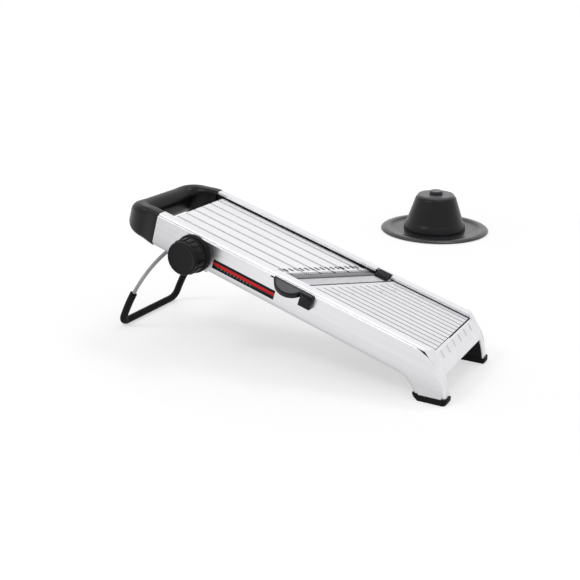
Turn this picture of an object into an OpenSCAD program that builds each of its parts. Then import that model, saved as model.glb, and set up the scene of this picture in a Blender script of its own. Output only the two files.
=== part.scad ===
// Mandoline slicer with a folding wire stand and a separate food holder.
// X runs along the slicer towards the front feet, Y across it, Z up. All sizes are in mm.
// The slicer is built with the middle of its deck's front end over X = 0, Y = 0, and the whole
// set is then moved so that the middle of its footprint is the origin.

/* [Deck and rails] */
// Angle of the deck above the table, in degrees
slope = 16.9; // [14:0.1:19]
// Height of the deck's front end above the table
deck_front_z = 48.6; // [46:0.2:54]
// Length of the deck along its slope
deck_len = 323.5; // [315:0.5:335]
// Width of the deck
deck_w = 102.6; // [98:0.2:110]
// Gap between the deck and each rail
deck_gap = 0.5; // [0.3:0.1:0.8]
// Width of each rail, from its inner face to the outer face of its skin
rail_w = 13.2; // [13:0.1:16]
// Height of the rail tops above the deck
rail_up = 3.5; // [3:0.1:5]
// How far the rails run on behind the deck
rail_over = 9; // [7:0.5:12]
// Depth of the sides below the deck
side_depth = 33; // [32:0.5:38]
// Extra depth of the sides behind the knob
side_step = 2.5; // [1:0.5:4]
// Thickness of the steel skins
skin_t = 0.9; // [0.6:0.1:1]
// Thickness of the rail caps
cap_t = 0.8; // [0.6:0.1:1]
// Radius of the rolled edges of skins and caps
edge_r = 1.8; // [1.5:0.1:2]
// Radius of the curl along the lower edge of each skin
curl_r = 6; // [5:0.5:6]
// Wall thickness of the plastic side frames
frame_t = 1.6; // [1.4:0.1:2]

/* [Front legs and feet] */
// How far the front of the legs stands ahead of the deck's front end
leg_front_x = 18.6; // [16:0.2:22]
// Radius of the curved front panel
panel_r = 94; // [85:1:105]
// Height of the panel's axis above the table
panel_axis_z = -5; // [-10:1:0]
// Thickness of the front panel
panel_t = 1.5; // [1.2:0.1:1.5]
// Radius of the front panel's long edges
panel_edge_r = 3.6; // [3:0.1:4]
// Height of the apron's lower edge above the table
apron_z = 27.5; // [24:0.5:32]
// Radius of the curved front edge of each skin
skin_front_r = 46.8; // [42:0.2:50]
// How far the skins' front edge stays behind the panel
skin_back = 3.6; // [3:0.1:5]
// Place of the legs' rear edge, measured forward from the deck's front end
leg_rear_x = -14; // [-18:0.5:-11]
// Radius of the curve behind each leg
leg_rear_r = 30; // [26:1:34]
// Height of the rubber feet
foot_h = 6; // [5:0.5:8]

/* [Handle] */
// Length of the handle behind the rails
handle_len = 42.5; // [38:0.5:50]
// Thickness of the handle's grip, seen from above
grip_t = 23; // [20:0.5:26]
// Height of the handle's grip
grip_h = 33; // [30:0.5:35]
// Outer radius of the handle's corners
grip_corner_r = 26; // [25:0.5:30]

/* [Ramp and platform] */
// Thickness of the upper ramp
ramp_t = 2.4; // [2:0.1:2.8]
// Depth of the ramp's top below the lower platform, at the thinnest setting
ramp_rest = 1; // [0.5:0.1:1.5]
// Thickness of the lower platform
platform_t = 2.2; // [2:0.1:2.4]
// Spacing of the upper ramp's flutes
flute_pitch = 16.25; // [14:0.25:18]
// Width of a flute's groove
flute_w = 1.8; // [1.2:0.1:2.2]
// Depth of a flute's groove
flute_d = 0.7; // [0.4:0.1:1]
// Distance of the ramp's hinge pin from the deck's rear end
hinge_in = 7.5; // [6.5:0.1:9]
// Depth of the hinge pin below the deck
hinge_h = 7; // [6.5:0.1:7.5]
// Radius of the hinge pin
hinge_pin_r = 2.5; // [2:0.1:2.7]
// Thickest slice angle of the ramp, in degrees
ramp_drop = 3; // [2:0.1:3]

/* [Blade] */
// Angle of the blade across the deck, in degrees
blade_angle = 29; // [26:0.5:31]
// Distance of the cutting edge from the deck's front end, along the middle
edge_s = 147.5; // [144:0.5:152]
// Width of the blade
blade_w = 23.2; // [22:0.2:24]
// Width of the ground bevel
bevel_w = 8.75; // [6:0.25:10]
// Thickness of the blade
blade_t = 1; // [0.8:0.1:1.2]
// Gap between the ramp and the cutting edge
edge_gap = 1.3; // [1:0.1:1.6]
// Angle at which the finger tab slopes down, in degrees
tab_angle = 30; // [25:1:35]
// Radius of the finger tab's curved end
tab_r = 19; // [17:0.5:20]

/* [Comb] */
// Number of comb teeth
comb_n = 17; // [13:2:17]
// Distance of the outermost teeth from the deck's edges, before the row is moved aside
comb_side = 4.5; // [4.5:0.1:8]
// Distance of the teeth from the cutting edge, square to it
comb_back = 11.2; // [10.5:0.1:12.5]
// Height by which the comb lifts
comb_lift = 5; // [3:0.1:5]

/* [Knob and scale] */
// Distance of the knob's shaft from the deck's rear end, along the slope
knob_in = 45.7; // [42.7:0.1:48.7]
// Depth of the knob's shaft below the deck
knob_h = 18.8; // [18.6:0.1:19.6]
// Radius of the knob
knob_r = 19.4; // [17:0.2:20.5]
// Length of the knob
knob_len = 18; // [14:0.5:24]
// Radius of the fixed collar behind the knob
bezel_r = 21.2; // [20.8:0.2:21.6]
// Thickness of the fixed collar
bezel_t = 5.8; // [4:0.2:8]
// Number of grip pads round the knob
pad_n = 16; // [12:1:20]
// Radius of the knob's shaft
shaft_r = 4; // [3.5:0.1:4.2]
// Largest radius of the lift cams
cam_r = 8; // [7.5:0.1:8.2]
// Turn of the knob over its whole range, in degrees
knob_turn = 270; // [200:10:270]
// Module of the pinion and rack that move the pointer
gear_module = 1; // [1:0.01:1.02]
// Teeth of the pinion
pinion_teeth = 17; // [17:1:17]

/* [Stand] */
// Distance of the stand's foot bar behind the deck's rear end
stand_back = 78.5; // [74:0.5:84]
// Distance of the stand's pivots from the deck's rear end, along the slope
pivot_in = 17.2; // [16.6:0.1:17.8]
// Depth of the stand's pivots below the deck
pivot_h = 22.6; // [21.6:0.1:23.6]
// Lean of the stand's legs at the foot, in degrees
stand_lean = 66; // [65:0.1:68]
// Distance of the middle of each leg outside the rails' inner faces
stand_inset = 1.2; // [0.8:0.1:1.4]
// Radius of the wire
wire_r = 2.2; // [1.8:0.1:2.3]
// Radius of the rubber sleeve
sleeve_r = 4.2; // [3.6:0.1:4.3]
// Radius of the wire's lower bends
stand_bend_r = 10; // [8:0.5:14]
// Height of the pads under the sleeve
pad_h = 0.4; // [0.2:0.1:1]

/* [Food holder] */
// Place of the holder's middle ahead of the deck's front end
holder_x = -220; // [-260:1:-180]
// Place of the holder's middle to the far side of the slicer's middle
holder_y = 523; // [180:1:560]
// Radius of the brim
brim_r = 85; // [78:1:92]
// Radius of the cone at its foot
cone_r = 44.6; // [43.5:0.2:48]
// Radius of the cone at its top
cone_top_r = 31.2; // [30:0.2:34]
// Height of the cone's top
cone_z = 55; // [52:0.5:60]
// Radius of the top button
button_r = 10.5; // [9:0.5:13]
// Height of the top button
button_h = 7.6; // [6:0.2:10]
// Radius of the plunger's rod
rod_r = 6; // [5:0.1:6.5]

/* [Hidden] */
$fn = 96;

// Clearances: run between parts that slide or turn, seat between fitted parts of one body.
run = 0.3;
bore_gap = 0.06;
far = 500;

// Cross section of the rails, as distances from the middle of the slicer
inner_y = deck_w / 2 + deck_gap;
outer_y = inner_y + rail_w;
skin_y = outer_y - skin_t;
cap_y = outer_y - edge_r - 0.2;
cap_flat_y = cap_y - edge_r;
panel_flat_y = cap_y - panel_edge_r;
frame_wall_y = cap_flat_y + 0.4;
inner_wall_y = inner_y + frame_t;
rail_len = deck_len + rail_over;
roll_h = edge_r;
seam_h = 0.8;
cap_under_h = rail_up - cap_t;
lower_inset = curl_r + 0.3;
channel_s = 48;

// Places on the slope, and circles that shape the legs, as [x, z]
function on_slope_x(u, h) = u * cos(slope) + h * sin(slope);
function on_slope_z(u, h) = deck_front_z - u * sin(slope) + h * cos(slope);
function z_at(x, h) = deck_front_z + (h - x * sin(slope)) / cos(slope);
function along(x, z) = x * cos(slope) - (z - deck_front_z) * sin(slope);
panel_c = [leg_front_x - panel_r, panel_axis_z];
skin_c = [leg_front_x - skin_back - skin_front_r,
    z_at(leg_front_x - skin_back - skin_front_r, roll_h - skin_front_r)];
rear_c = [leg_rear_x - leg_rear_r, z_at(leg_rear_x - leg_rear_r, -side_depth - leg_rear_r)];
skin_c_u = along(skin_c[0], skin_c[1]);
rear_c_u = along(rear_c[0], rear_c[1]);

// Blade and comb, as distances square to the cutting edge (p) and along it (l)
blade_slot = 0.4;
tongue_y = inner_y + 5.2;
near_edge_s = edge_s + outer_y * tan(blade_angle);
blade_corner_s = near_edge_s - 5.5;
blade_out_y = 2.6;
clamp_y0 = inner_y - 7.8;
clamp_y1 = inner_y + 6.4;
clamp_mid_s = edge_s - inner_y * tan(blade_angle) - blade_w / 2 / cos(blade_angle);
clamp_s0 = clamp_mid_s - 8.5;
clamp_s1 = clamp_mid_s + 10.8;
near_ledge_s = edge_s + inner_y * tan(blade_angle) - 31.2;
far_ledge_s = edge_s - inner_y * tan(blade_angle) - 28.8;
clamp_up = 4;
clamp_down = 8;
platform_p = blade_w + 0.6;
near_slot_l = 8 - inner_y;
ledge_w = 5.8;
ledge_t = 2;
screw_y = inner_y - 2.9;
screw_s = [20, 80];
screw_r = 1.25;
comb_pitch = (deck_w - 2 * comb_side) / (comb_n - 1);
comb_shift = 3;
comb_slot_l = 5.6;
comb_slot_w = 2;
tooth_w = 1.2;
tooth_l = 3.6;
ramp_under_h = -ramp_rest - ramp_t;
comb_top_h = ramp_under_h - comb_lift - run - 0.5;
comb_t = 4;
comb_w = 6;
guide_l = [-38, 38];
guide_p = -comb_back - 6.5;
guide_r = 1.5;

// Knob, cams, pinion, rack and scale
knob_s = deck_len - knob_in;
knee_s = knob_s - 17.8;
collar_y = outer_y + bezel_t;
knob_y0 = collar_y + run;
knob_y1 = knob_y0 + knob_len;
cam_y = 35;
cam_t = 8;
hinge_s = deck_len - hinge_in;
hinge_end_y = inner_y + 8.2;
cam_arm = hinge_s - knob_s;
cam_drop = cam_arm * sin(ramp_drop);
pitch_r = gear_module * pinion_teeth / 2;
rack_travel = pitch_r * knob_turn * PI / 180;
rack_h = -knob_h + pitch_r;
rack_top_h = rack_h + 4.4;
gear_y0 = skin_y - run - 0.1;
gear_t = 2.8;
slot_s0 = knob_s - 103.8;
slot_s1 = knob_s - 24.8;
slot_top = 14;
slot_bottom = 24.6;
window_s1 = slot_s1 + 5;
window_s0 = slot_s0 - rack_travel - 16;
window_h = 25;
scale_t = frame_wall_y;
pointer_head_s = slot_s1 - 5.5;
pointer_h = -19.4;
bar_h = 4;
pointer_y0 = skin_y - run;
pointer_t = 1.1;

// Stand, as [x, z]: the pivot, the end of the bow and the centre of the bow that joins them and
// leaves its end along the leg's direction at the foot
stand_y = inner_y + stand_inset;
pivot_s = deck_len - pivot_in;
stand_pivot = [on_slope_x(-pivot_s, -pivot_h), on_slope_z(-pivot_s, -pivot_h)];
stand_foot_x = -deck_len * cos(slope) - stand_back;
stand_foot_z = pad_h + sleeve_r;
foot_dir = 180 + stand_lean;
bow_end = [stand_foot_x - stand_bend_r * cos(foot_dir), stand_foot_z - stand_bend_r * sin(foot_dir)];
bow_chord = stand_pivot - bow_end;
bow_across = [cos(foot_dir + 90), sin(foot_dir + 90)];
stand_bow_r = bow_chord * bow_chord / (2 * bow_chord * bow_across);
stand_sweep = 2 * asin(norm(bow_chord) / (2 * stand_bow_r));
bow_c = bow_end + stand_bow_r * bow_across;
pivot_dir = foot_dir - stand_sweep;
sleeve_up = 8;
stand_pin_r = wire_r + 0.2;
bush_r = 5;

// Holder
cone_z0 = 15;
shell_t = 2;
disc_t = 3.3;
plate_z = 9;
plate_t = 3;
plate_r = 36;
prong_r = 0.9;
button_z = cone_z + disc_t + run;

// Footprint of the whole set
set_x0 = stand_foot_x - sleeve_r;
set_x1 = leg_front_x + 1;
set_y0 = -knob_y1;
set_y1 = holder_y + brim_r;

module whole_set() {
    translate([-(set_x0 + set_x1) / 2, -(set_y0 + set_y1) / 2, 0]) children();
}

// Children drawn with u along the slope, y across and h square to the deck
module on_slope() {
    translate([0, 0, deck_front_z]) rotate([0, slope, 0]) children();
}

// Children drawn with p square to the cutting edge, l along it and h square to the deck
module on_blade() {
    on_slope() turned() children();
}

// Children drawn in the slope's own coordinates, turned to lie along and across the cutting edge
module turned() {
    translate([-edge_s, 0, 0]) rotate([0, 0, -blade_angle]) children();
}

// Box between two corners
module box(a, b) {
    translate(a) cube(b - a);
}

// Side view (x, z) made a slab on the near side, from y = -b to y = -a
module near_slab(a, b) {
    translate([0, -a, 0]) rotate([90, 0, 0]) linear_extrude(b - a) children();
}

// Section (y, h) swept along the slope between two distances
module sweep(u0, u1) {
    translate([u0, 0, 0]) rotate([90, 0, 90]) linear_extrude(u1 - u0) children();
}

// Section (radius, -y) swept round an axis along Y through c = [x, z], from angle a0 to a1
module sweep_round(c, a0, a1) {
    translate([c[0], 0, c[1]]) rotate([90, 0, 0]) rotate([0, 0, a0]) rotate_extrude(angle = a1 - a0)
        children();
}

// Quarter of a ring with its centre at the origin, in the quadrant of a and b
module quarter_ring(r, t, a, b) {
    intersection() {
        difference() {
            circle(r);
            circle(r - t);
        }
        translate([a > 0 ? 0 : -r, b > 0 ? 0 : -r]) square(r);
    }
}

// Side view of the slope drawn with u and h
module slope_view() {
    translate([0, deck_front_z]) rotate(-slope) children();
}

// Everything below the lower edge of a side, raised by an inset
module below_side(inset) {
    translate(rear_c) circle(leg_rear_r + inset);
    translate([-far, -far]) square([far + leg_rear_x + inset, far + rear_c[1]]);
    slope_view() polygon([[-far, -far], [rear_c_u, -far], [rear_c_u, inset - side_depth],
        [-knee_s, inset - side_depth], [-knee_s, inset - side_depth - side_step],
        [-far, inset - side_depth - side_step]]);
}

// Side view of a skin, with its top and front edge and its lower edge drawn in
module skin_view(top_inset, inset) {
    difference() {
        intersection() {
            union() {
                slope_view() translate([-rail_len, -far])
                    square([rail_len + skin_c_u, far + roll_h - top_inset]);
                translate(skin_c) circle(skin_front_r - top_inset);
                translate([skin_c[0], foot_h]) square([skin_front_r - top_inset, skin_c[1] - foot_h]);
            }
            translate([-far, foot_h]) square([2 * far, far]);
        }
        below_side(inset);
    }
}

// Side view of a side frame under a given height and inside a given front radius
module frame_view(top, front_r) {
    difference() {
        intersection() {
            slope_view() translate([-rail_len, -far]) square([far, far + top]);
            union() {
                translate(panel_c) circle(front_r);
                translate([-far, 0]) square([far + panel_c[0], far]);
            }
            translate([-far, foot_h]) square([2 * far, far]);
        }
        below_side(lower_inset);
    }
}

module skin_blank() {
    rolled = skin_front_r - edge_r;
    near_slab(skin_y, outer_y) skin_view(edge_r, curl_r);
    // rolled top edge, curved front edge and upright front edge
    on_slope() sweep(-rail_len, skin_c_u - 0.1) translate([-outer_y + edge_r, roll_h - edge_r]) {
        quarter_ring(edge_r, skin_t, -1, 1);
        translate([-edge_r, -0.5]) square([skin_t, 0.55]);
    }
    sweep_round(skin_c, 0.1, 89.9 - slope) translate([rolled, outer_y - edge_r]) {
        quarter_ring(edge_r, skin_t, 1, 1);
        translate([-0.5, edge_r - skin_t]) square([0.55, skin_t]);
    }
    translate([skin_c[0] + rolled, -outer_y + edge_r, foot_h])
        linear_extrude(skin_c[1] - foot_h - 0.1) {
            quarter_ring(edge_r, skin_t, 1, -1);
            translate([-0.5, -edge_r]) square([0.55, skin_t]);
        }
    // curl along the lower edge and round behind the leg
    for (part = [[-rail_len, -knee_s, side_depth + side_step], [-knee_s, rear_c_u - 0.1, side_depth]])
        on_slope() sweep(part[0], part[1]) translate([-outer_y + curl_r, curl_r - part[2]]) {
            quarter_ring(curl_r, skin_t, -1, -1);
            translate([-curl_r, -0.05]) square([skin_t, 0.55]);
        }
    sweep_round(rear_c, asin((foot_h - rear_c[1]) / leg_rear_r), 90 - slope)
        translate([leg_rear_r + curl_r, outer_y - curl_r]) {
            quarter_ring(curl_r, skin_t, -1, 1);
            translate([-0.05, curl_r - skin_t]) square([0.55, skin_t]);
        }
}

// Slot along the blade's path, through one side
module blade_path(l0, l1) {
    on_blade() box([-blade_slot, l0, -blade_t - blade_slot], [blade_w + blade_slot, l1, blade_slot - 0.05]);
}

module at_shaft() {
    on_slope() translate([-knob_s, 0, -knob_h]) rotate([90, 0, 0]) children();
}

module near_skin() {
    color("silver") difference() {
        skin_blank();
        at_shaft() cylinder(r = shaft_r + 2, h = far);
        on_slope() box([-slot_s1, -far, -slot_bottom], [-slot_s0, 0, -slot_top]);
        blade_path(-far, near_slot_l);
    }
}

module far_skin() {
    color("silver") mirror([0, 1, 0]) skin_blank();
}

module frame_blank() {
    difference() {
        union() {
            near_slab(cap_y, skin_y) skin_view(edge_r + 0.2, lower_inset);
            near_slab(cap_flat_y, cap_y) frame_view(seam_h, panel_r - panel_edge_r);
            near_slab(panel_flat_y, cap_flat_y) frame_view(cap_under_h, panel_r - panel_edge_r);
            near_slab(inner_y, panel_flat_y) frame_view(cap_under_h, panel_r - panel_t);
        }
        // channel along the underside, where the stand's leg folds in
        on_slope() box([-rail_len + 8.5, -frame_wall_y, -far],
            [-channel_s, -inner_wall_y, seam_h - frame_t]);
        // the inner wall stops short of the stand's leg
        on_slope() box([6.3 - pivot_s, -inner_wall_y - 1, -far], [-channel_s, -inner_y + 1, -9]);
        on_slope() box([-rail_len + 8.5, -inner_wall_y - 1, -far], [7.3 - pivot_s, -inner_y + 1, -13]);
    }
    // boss of the ramp's hinge pin
    on_slope() translate([-hinge_s, -inner_y, -hinge_h]) rotate([90, 0, 0])
        cylinder(r = hinge_pin_r + 2, h = frame_t + 3);
}

module frame_ledge(s1) {
    on_slope() difference() {
        box([-s1, -inner_y, -platform_t - ledge_t], [-3, -inner_y + ledge_w, -platform_t]);
        for (s = screw_s) translate([-s, -screw_y, -20]) cylinder(r = screw_r + 0.05, h = 40);
    }
}

module hinge_bore() {
    on_slope() translate([-hinge_s, 0, -hinge_h]) rotate([90, 0, 0])
        cylinder(r = hinge_pin_r + bore_gap, h = far, center = true);
}

module near_side_frame() {
    color("#1c1c1e") {
        difference() {
            frame_blank();
            hinge_bore();
            blade_path(-far, near_slot_l);
            at_shaft() translate([0, 0, frame_wall_y - 1])
                cylinder(r = pitch_r + gear_module + 0.6, h = far);
            // run of the rack and window of the scale
            on_slope() box([-rail_len + 5, -skin_y - 1, -knob_h + 5.5],
                [-window_s0, -frame_wall_y, rack_top_h + run]);
            on_slope() box([-window_s1, -skin_y - 1, -window_h],
                [-window_s0, -frame_wall_y, -slot_top + 1]);
        }
        frame_ledge(near_ledge_s);
    }
}

module far_side_frame() {
    color("#1c1c1e") {
        difference() {
            mirror([0, 1, 0]) frame_blank();
            hinge_bore();
            intersection() {
                blade_path(0, far);
                on_slope() box([-far, 0, -far], [far, tongue_y + blade_slot, far]);
            }
            at_shaft() translate([0, 0, -far]) cylinder(r = shaft_r + bore_gap, h = far);
            on_slope() box([-clamp_s1, inner_y - 1, -clamp_down], [-clamp_s0, clamp_y1, far]);
        }
        mirror([0, 1, 0]) frame_ledge(far_ledge_s);
    }
}

module cap_blank() {
    difference() {
        union() {
            on_slope() box([-rail_len, -cap_flat_y, cap_under_h], [20, -inner_y - 0.5, rail_up]);
            on_slope() sweep(-rail_len, 20) translate([-cap_flat_y, rail_up - edge_r])
                quarter_ring(edge_r, cap_t, -1, 1);
        }
        // the front end follows the inside of the panel
        sweep_round(panel_c, 0, 90) beyond_panel();
    }
}

module near_rail_cap() {
    color("gainsboro") cap_blank();
}

module far_rail_cap() {
    color("gainsboro") difference() {
        mirror([0, 1, 0]) cap_blank();
        on_slope() box([-clamp_s1, inner_y - 1, 0], [-clamp_s0, clamp_y1, far]);
    }
}

module panel_section() {
    translate([panel_r - panel_t, -panel_flat_y]) square([panel_t, 2 * panel_flat_y]);
    for (side = [-1, 1]) translate([panel_r - panel_edge_r, side * panel_flat_y])
        quarter_ring(panel_edge_r, panel_t, 1, side);
}

// Everything outside the panel's inner face, cut along the panel's axis
module beyond_panel() {
    translate([panel_r - panel_t, -panel_flat_y]) square([far, 2 * panel_flat_y]);
    for (side = [-1, 1]) translate([panel_r - panel_edge_r, side * panel_flat_y]) difference() {
        translate([0, side > 0 ? 0 : -far]) square(far);
        circle(panel_edge_r - panel_t);
    }
}

module front_panel() {
    rib_l = 5;
    rib_a = asin((deck_front_z - panel_axis_z) / panel_r);
    color("gainsboro") {
        difference() {
            sweep_round(panel_c, 0, 60) panel_section();
            translate([-far, -far, -far]) cube([2 * far, 2 * far, far + foot_h]);
            translate([-far, -inner_y, 0]) cube([2 * far, 2 * inner_y, apron_z]);
            on_slope() box([-far, -far, rail_up], [far, far, far]);
            on_slope() box([-far, -inner_y, -0.3], [far, inner_y, far]);
        }
        // short ribs along the top of the apron, in line with the ramp's flutes
        for (i = [-2.5:1:2.5]) sweep_round(panel_c, rib_a - rib_l - 1, rib_a - 1)
            translate([panel_r - 0.2, i * flute_pitch - 0.8]) square([1, 1.6]);
    }
}

module front_feet() {
    toe_x = leg_front_x + 1;
    heel_x = leg_rear_x - 3;
    color("#111113") for (side = [-1, 1]) mirror([0, side > 0 ? 1 : 0, 0])
        difference() {
            near_slab(inner_y - 0.5, outer_y + 0.8) polygon([[heel_x, foot_h], [heel_x + 7.5, 0],
                [toe_x - 1.5, 0], [toe_x, 1.5], [toe_x, foot_h]]);
            // rounded outer corners
            for (c = [[toe_x - 5, 1], [heel_x + 5, -1]]) difference() {
                box([c[0] - (c[1] < 0 ? 6 : 0), -outer_y - 2, -1],
                    [c[0] + (c[1] > 0 ? 6 : 0), -outer_y + 4.2, foot_h + 1]);
                translate([c[0], -outer_y + 4.2, -2]) cylinder(r = 5, h = foot_h + 4);
            }
        }
}

module grip_section(n) {
    r = 10;
    for (x = [r, grip_t - r], y = [r, grip_h - r]) translate([x, y]) circle(r, $fn = n);
    translate([r, 0]) square([grip_t - 2 * r, grip_h]);
    translate([0, r]) square([grip_t, grip_h - 2 * r]);
}

module handle() {
    back_u = -rail_len - handle_len;
    bend_u = back_u + grip_corner_r;
    bend_y = outer_y - 3 - grip_corner_r;
    inner_r = grip_corner_r - grip_t;
    color("#151517") on_slope() {
        // back bar
        translate([back_u, bend_y, -grip_h - 1]) rotate([90, 0, 0]) linear_extrude(2 * bend_y)
            grip_section(96);
        for (side = [-1, 1]) mirror([0, side > 0 ? 1 : 0, 0]) {
            // corner
            translate([bend_u, -bend_y, -grip_h - 1]) rotate([0, 0, 180]) rotate_extrude(angle = 90)
                translate([inner_r, 0]) grip_section(96);
            // arm, deepening to the end of the rail
            hull() {
                translate([bend_u, -bend_y - grip_corner_r, -grip_h - 1]) rotate([90, 0, 90])
                    linear_extrude(0.5) grip_section(32);
                translate([-rail_len - 0.5, -outer_y, 0]) rotate([90, 0, 90]) linear_extrude(0.5)
                    arm_end();
            }
        }
    }
}

// End of a handle arm against its rail, with the rail's own outline
module arm_end() {
    low = -side_depth - side_step;
    for (y = [4, rail_w - 2], z = [low + 4, rail_up - 4]) translate([y, z]) circle(4, $fn = 32);
}

module rear_cross_member() {
    cross_top = 13.5;
    cross_low = side_depth - 4;
    color("#1c1c1e") on_slope()
        box([-rail_len + run, -inner_y, -cross_low], [-deck_len + 1.2, inner_y, -cross_top]);
}

// Grooves along the deck, spaced evenly about the middle
module grooves(n, pitch, top) {
    for (i = [0:n - 1]) translate([-far, (i - (n - 1) / 2) * pitch - flute_w / 2, top - flute_d])
        cube([2 * far, flute_w, far]);
}

module lower_platform() {
    color("gainsboro") on_slope() {
        difference() {
            box([-far, -deck_w / 2, -platform_t], [-1.2, deck_w / 2, 0]);
            turned() box([-2 * far, -far, -9], [platform_p, far, 9]);
            intersection() {
                grooves(12, flute_pitch / 2, 0);
                turned() box([platform_p + 5, -far, -9], [2 * far, far, 9]);
            }
            for (s = screw_s, side = [-1, 1]) translate([-s, side * screw_y, -platform_t - 1])
                cylinder(r = screw_r + 0.05, h = 2.6);
        }
        // row of pips behind the blade
        for (i = [-2:2])
            translate([i * flute_pitch * tan(blade_angle) - edge_s + 46.5, i * flute_pitch, -0.2])
                cylinder(r = 1.6, h = 0.8);
    }
}

module blade_bed() {
    color("dimgray") on_slope() intersection() {
        turned() box([9, -far, -5], [blade_w - 1, far, -blade_t - run]);
        box([-far, -inner_y, -9], [0, inner_y, 9]);
    }
}

module blade_clamp() {
    color("#151517") difference() {
        on_slope() union() {
            box([-clamp_s1, clamp_y0, 0], [-clamp_s0, clamp_y1, clamp_up]);
            box([-clamp_s1, inner_y, -clamp_down], [-clamp_s0, clamp_y1, 1]);
        }
        blade_path(0, far);
    }
}

module dial_collar() {
    color("#1c1c1e") at_shaft() translate([0, 0, outer_y]) difference() {
        union() {
            cylinder(r = bezel_r, h = bezel_t - 1.2);
            translate([0, 0, bezel_t - 1.2]) cylinder(r1 = bezel_r, r2 = bezel_r - 1.2, h = 1.2);
        }
        translate([0, 0, -1]) cylinder(r = shaft_r + bore_gap, h = bezel_t + 2);
    }
}

module scale_plate() {
    color("darkslategray") on_slope()
        box([-window_s1, -scale_t - 0.8, -window_h], [-slot_s0 + 6, -scale_t, -slot_top + 0.4]);
}

module ramp_hinge_pin() {
    color("silver") on_slope() translate([-hinge_s, hinge_end_y, -hinge_h]) rotate([90, 0, 0])
        cylinder(r = hinge_pin_r, h = 2 * hinge_end_y);
}

module stand_bushes() {
    color("dimgray") for (side = [-1, 1]) mirror([0, side > 0 ? 1 : 0, 0])
        translate([stand_pivot[0], -frame_wall_y + 5.6, stand_pivot[1]]) rotate([90, 0, 0]) difference() {
            cylinder(r = bush_r, h = 5.6);
            translate([0, 0, -1]) cylinder(r = stand_pin_r + bore_gap, h = 8);
        }
}

module platform_screws() {
    color("silver") on_slope() for (s = screw_s, side = [-1, 1]) translate([-s, side * screw_y, 0]) {
        translate([0, 0, -platform_t - ledge_t - 1.6]) cylinder(r = 2.7, h = 1.6);
        translate([0, 0, -platform_t - ledge_t - 0.1]) cylinder(r = screw_r, h = ledge_t + 1.5);
    }
}

function tooth_y(i) = (i - (comb_n - 1) / 2) * comb_pitch + comb_shift;
function tooth_u(i) = -edge_s - comb_back / cos(blade_angle) + tooth_y(i) * tan(blade_angle);

module upper_ramp() {
    color("gainsboro") difference() {
        union() {
            on_slope() intersection() {
                box([-deck_len, -deck_w / 2, ramp_under_h], [0, deck_w / 2, -ramp_rest]);
                turned() box([-2 * far, -far, -9], [-edge_gap, far, 9]);
            }
            on_slope() {
                // turned-down sides
                for (side = [-1, 1]) mirror([0, side > 0 ? 1 : 0, 0])
                    box([-deck_len, -deck_w / 2, -9], [-edge_s - 42.5, -deck_w / 2 + 1.5, -ramp_rest - 1]);
                // hinge barrel and its web
                translate([-hinge_s, deck_w / 2 - 1.5, -hinge_h]) rotate([90, 0, 0])
                    cylinder(r = hinge_pin_r + 2, h = deck_w - 3);
                box([-hinge_s - 1, -deck_w / 2 + 1, -hinge_h],
                    [-hinge_s + 1, deck_w / 2 - 1, -ramp_rest - 1]);
                // feet that ride on the cams
                for (side = [-1, 1]) mirror([0, side > 0 ? 1 : 0, 0])
                    box([-knob_s - 8, -cam_y - cam_t, -knob_h + cam_r + run],
                        [-knob_s + 8, -cam_y, -ramp_rest - 1]);
            }
        }
        on_slope() {
            grooves(6, flute_pitch, -ramp_rest);
            translate([-hinge_s, 0, -hinge_h]) rotate([90, 0, 0])
                cylinder(r = hinge_pin_r + bore_gap, h = far, center = true);
            for (i = [0:comb_n - 1]) translate([tooth_u(i), tooth_y(i), 0])
                cube([comb_slot_l, comb_slot_w, 18], center = true);
        }
        on_blade() for (l = guide_l) translate([guide_p, l, ramp_under_h - 1])
            cylinder(r = guide_r, h = 2.6);
    }
}

module comb_guide_screws() {
    head_h = comb_top_h - comb_t;
    color("silver") on_blade() for (l = guide_l) translate([guide_p, l, 0]) {
        translate([0, 0, head_h - 1.8]) cylinder(r = 3, h = 1.8);
        translate([0, 0, head_h - 0.1]) cylinder(r = guide_r, h = ramp_under_h + 1.6 - head_h);
    }
}

module comb_carrier() {
    color("#1c1c1e") difference() {
        intersection() {
            on_blade() {
                box([-comb_back - comb_w / 2, -far, comb_top_h - comb_t],
                    [-comb_back + comb_w / 2, far, comb_top_h]);
                for (l = guide_l)
                    box([guide_p - 4, l - 5, comb_top_h - comb_t], [-comb_back, l + 5, comb_top_h]);
            }
            on_slope() box([-far, tooth_y(0) - 4, -far], [0, tooth_y(comb_n - 1) + 1.3, 0]);
        }
        on_blade() for (l = guide_l) translate([guide_p, l, -far])
            cylinder(r = guide_r + bore_gap, h = far);
    }
}

module comb_teeth() {
    half_l = tooth_l / 2;
    color("silver") on_slope() for (i = [0:comb_n - 1])
        translate([tooth_u(i), tooth_y(i) + tooth_w / 2, comb_top_h]) rotate([90, 0, 0])
            linear_extrude(tooth_w) polygon([[-half_l, 0], [half_l, 0], [half_l, comb_lift + 2.2],
                [half_l - 2.4, comb_lift + 3.1], [-half_l, comb_lift]]);
}

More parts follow.
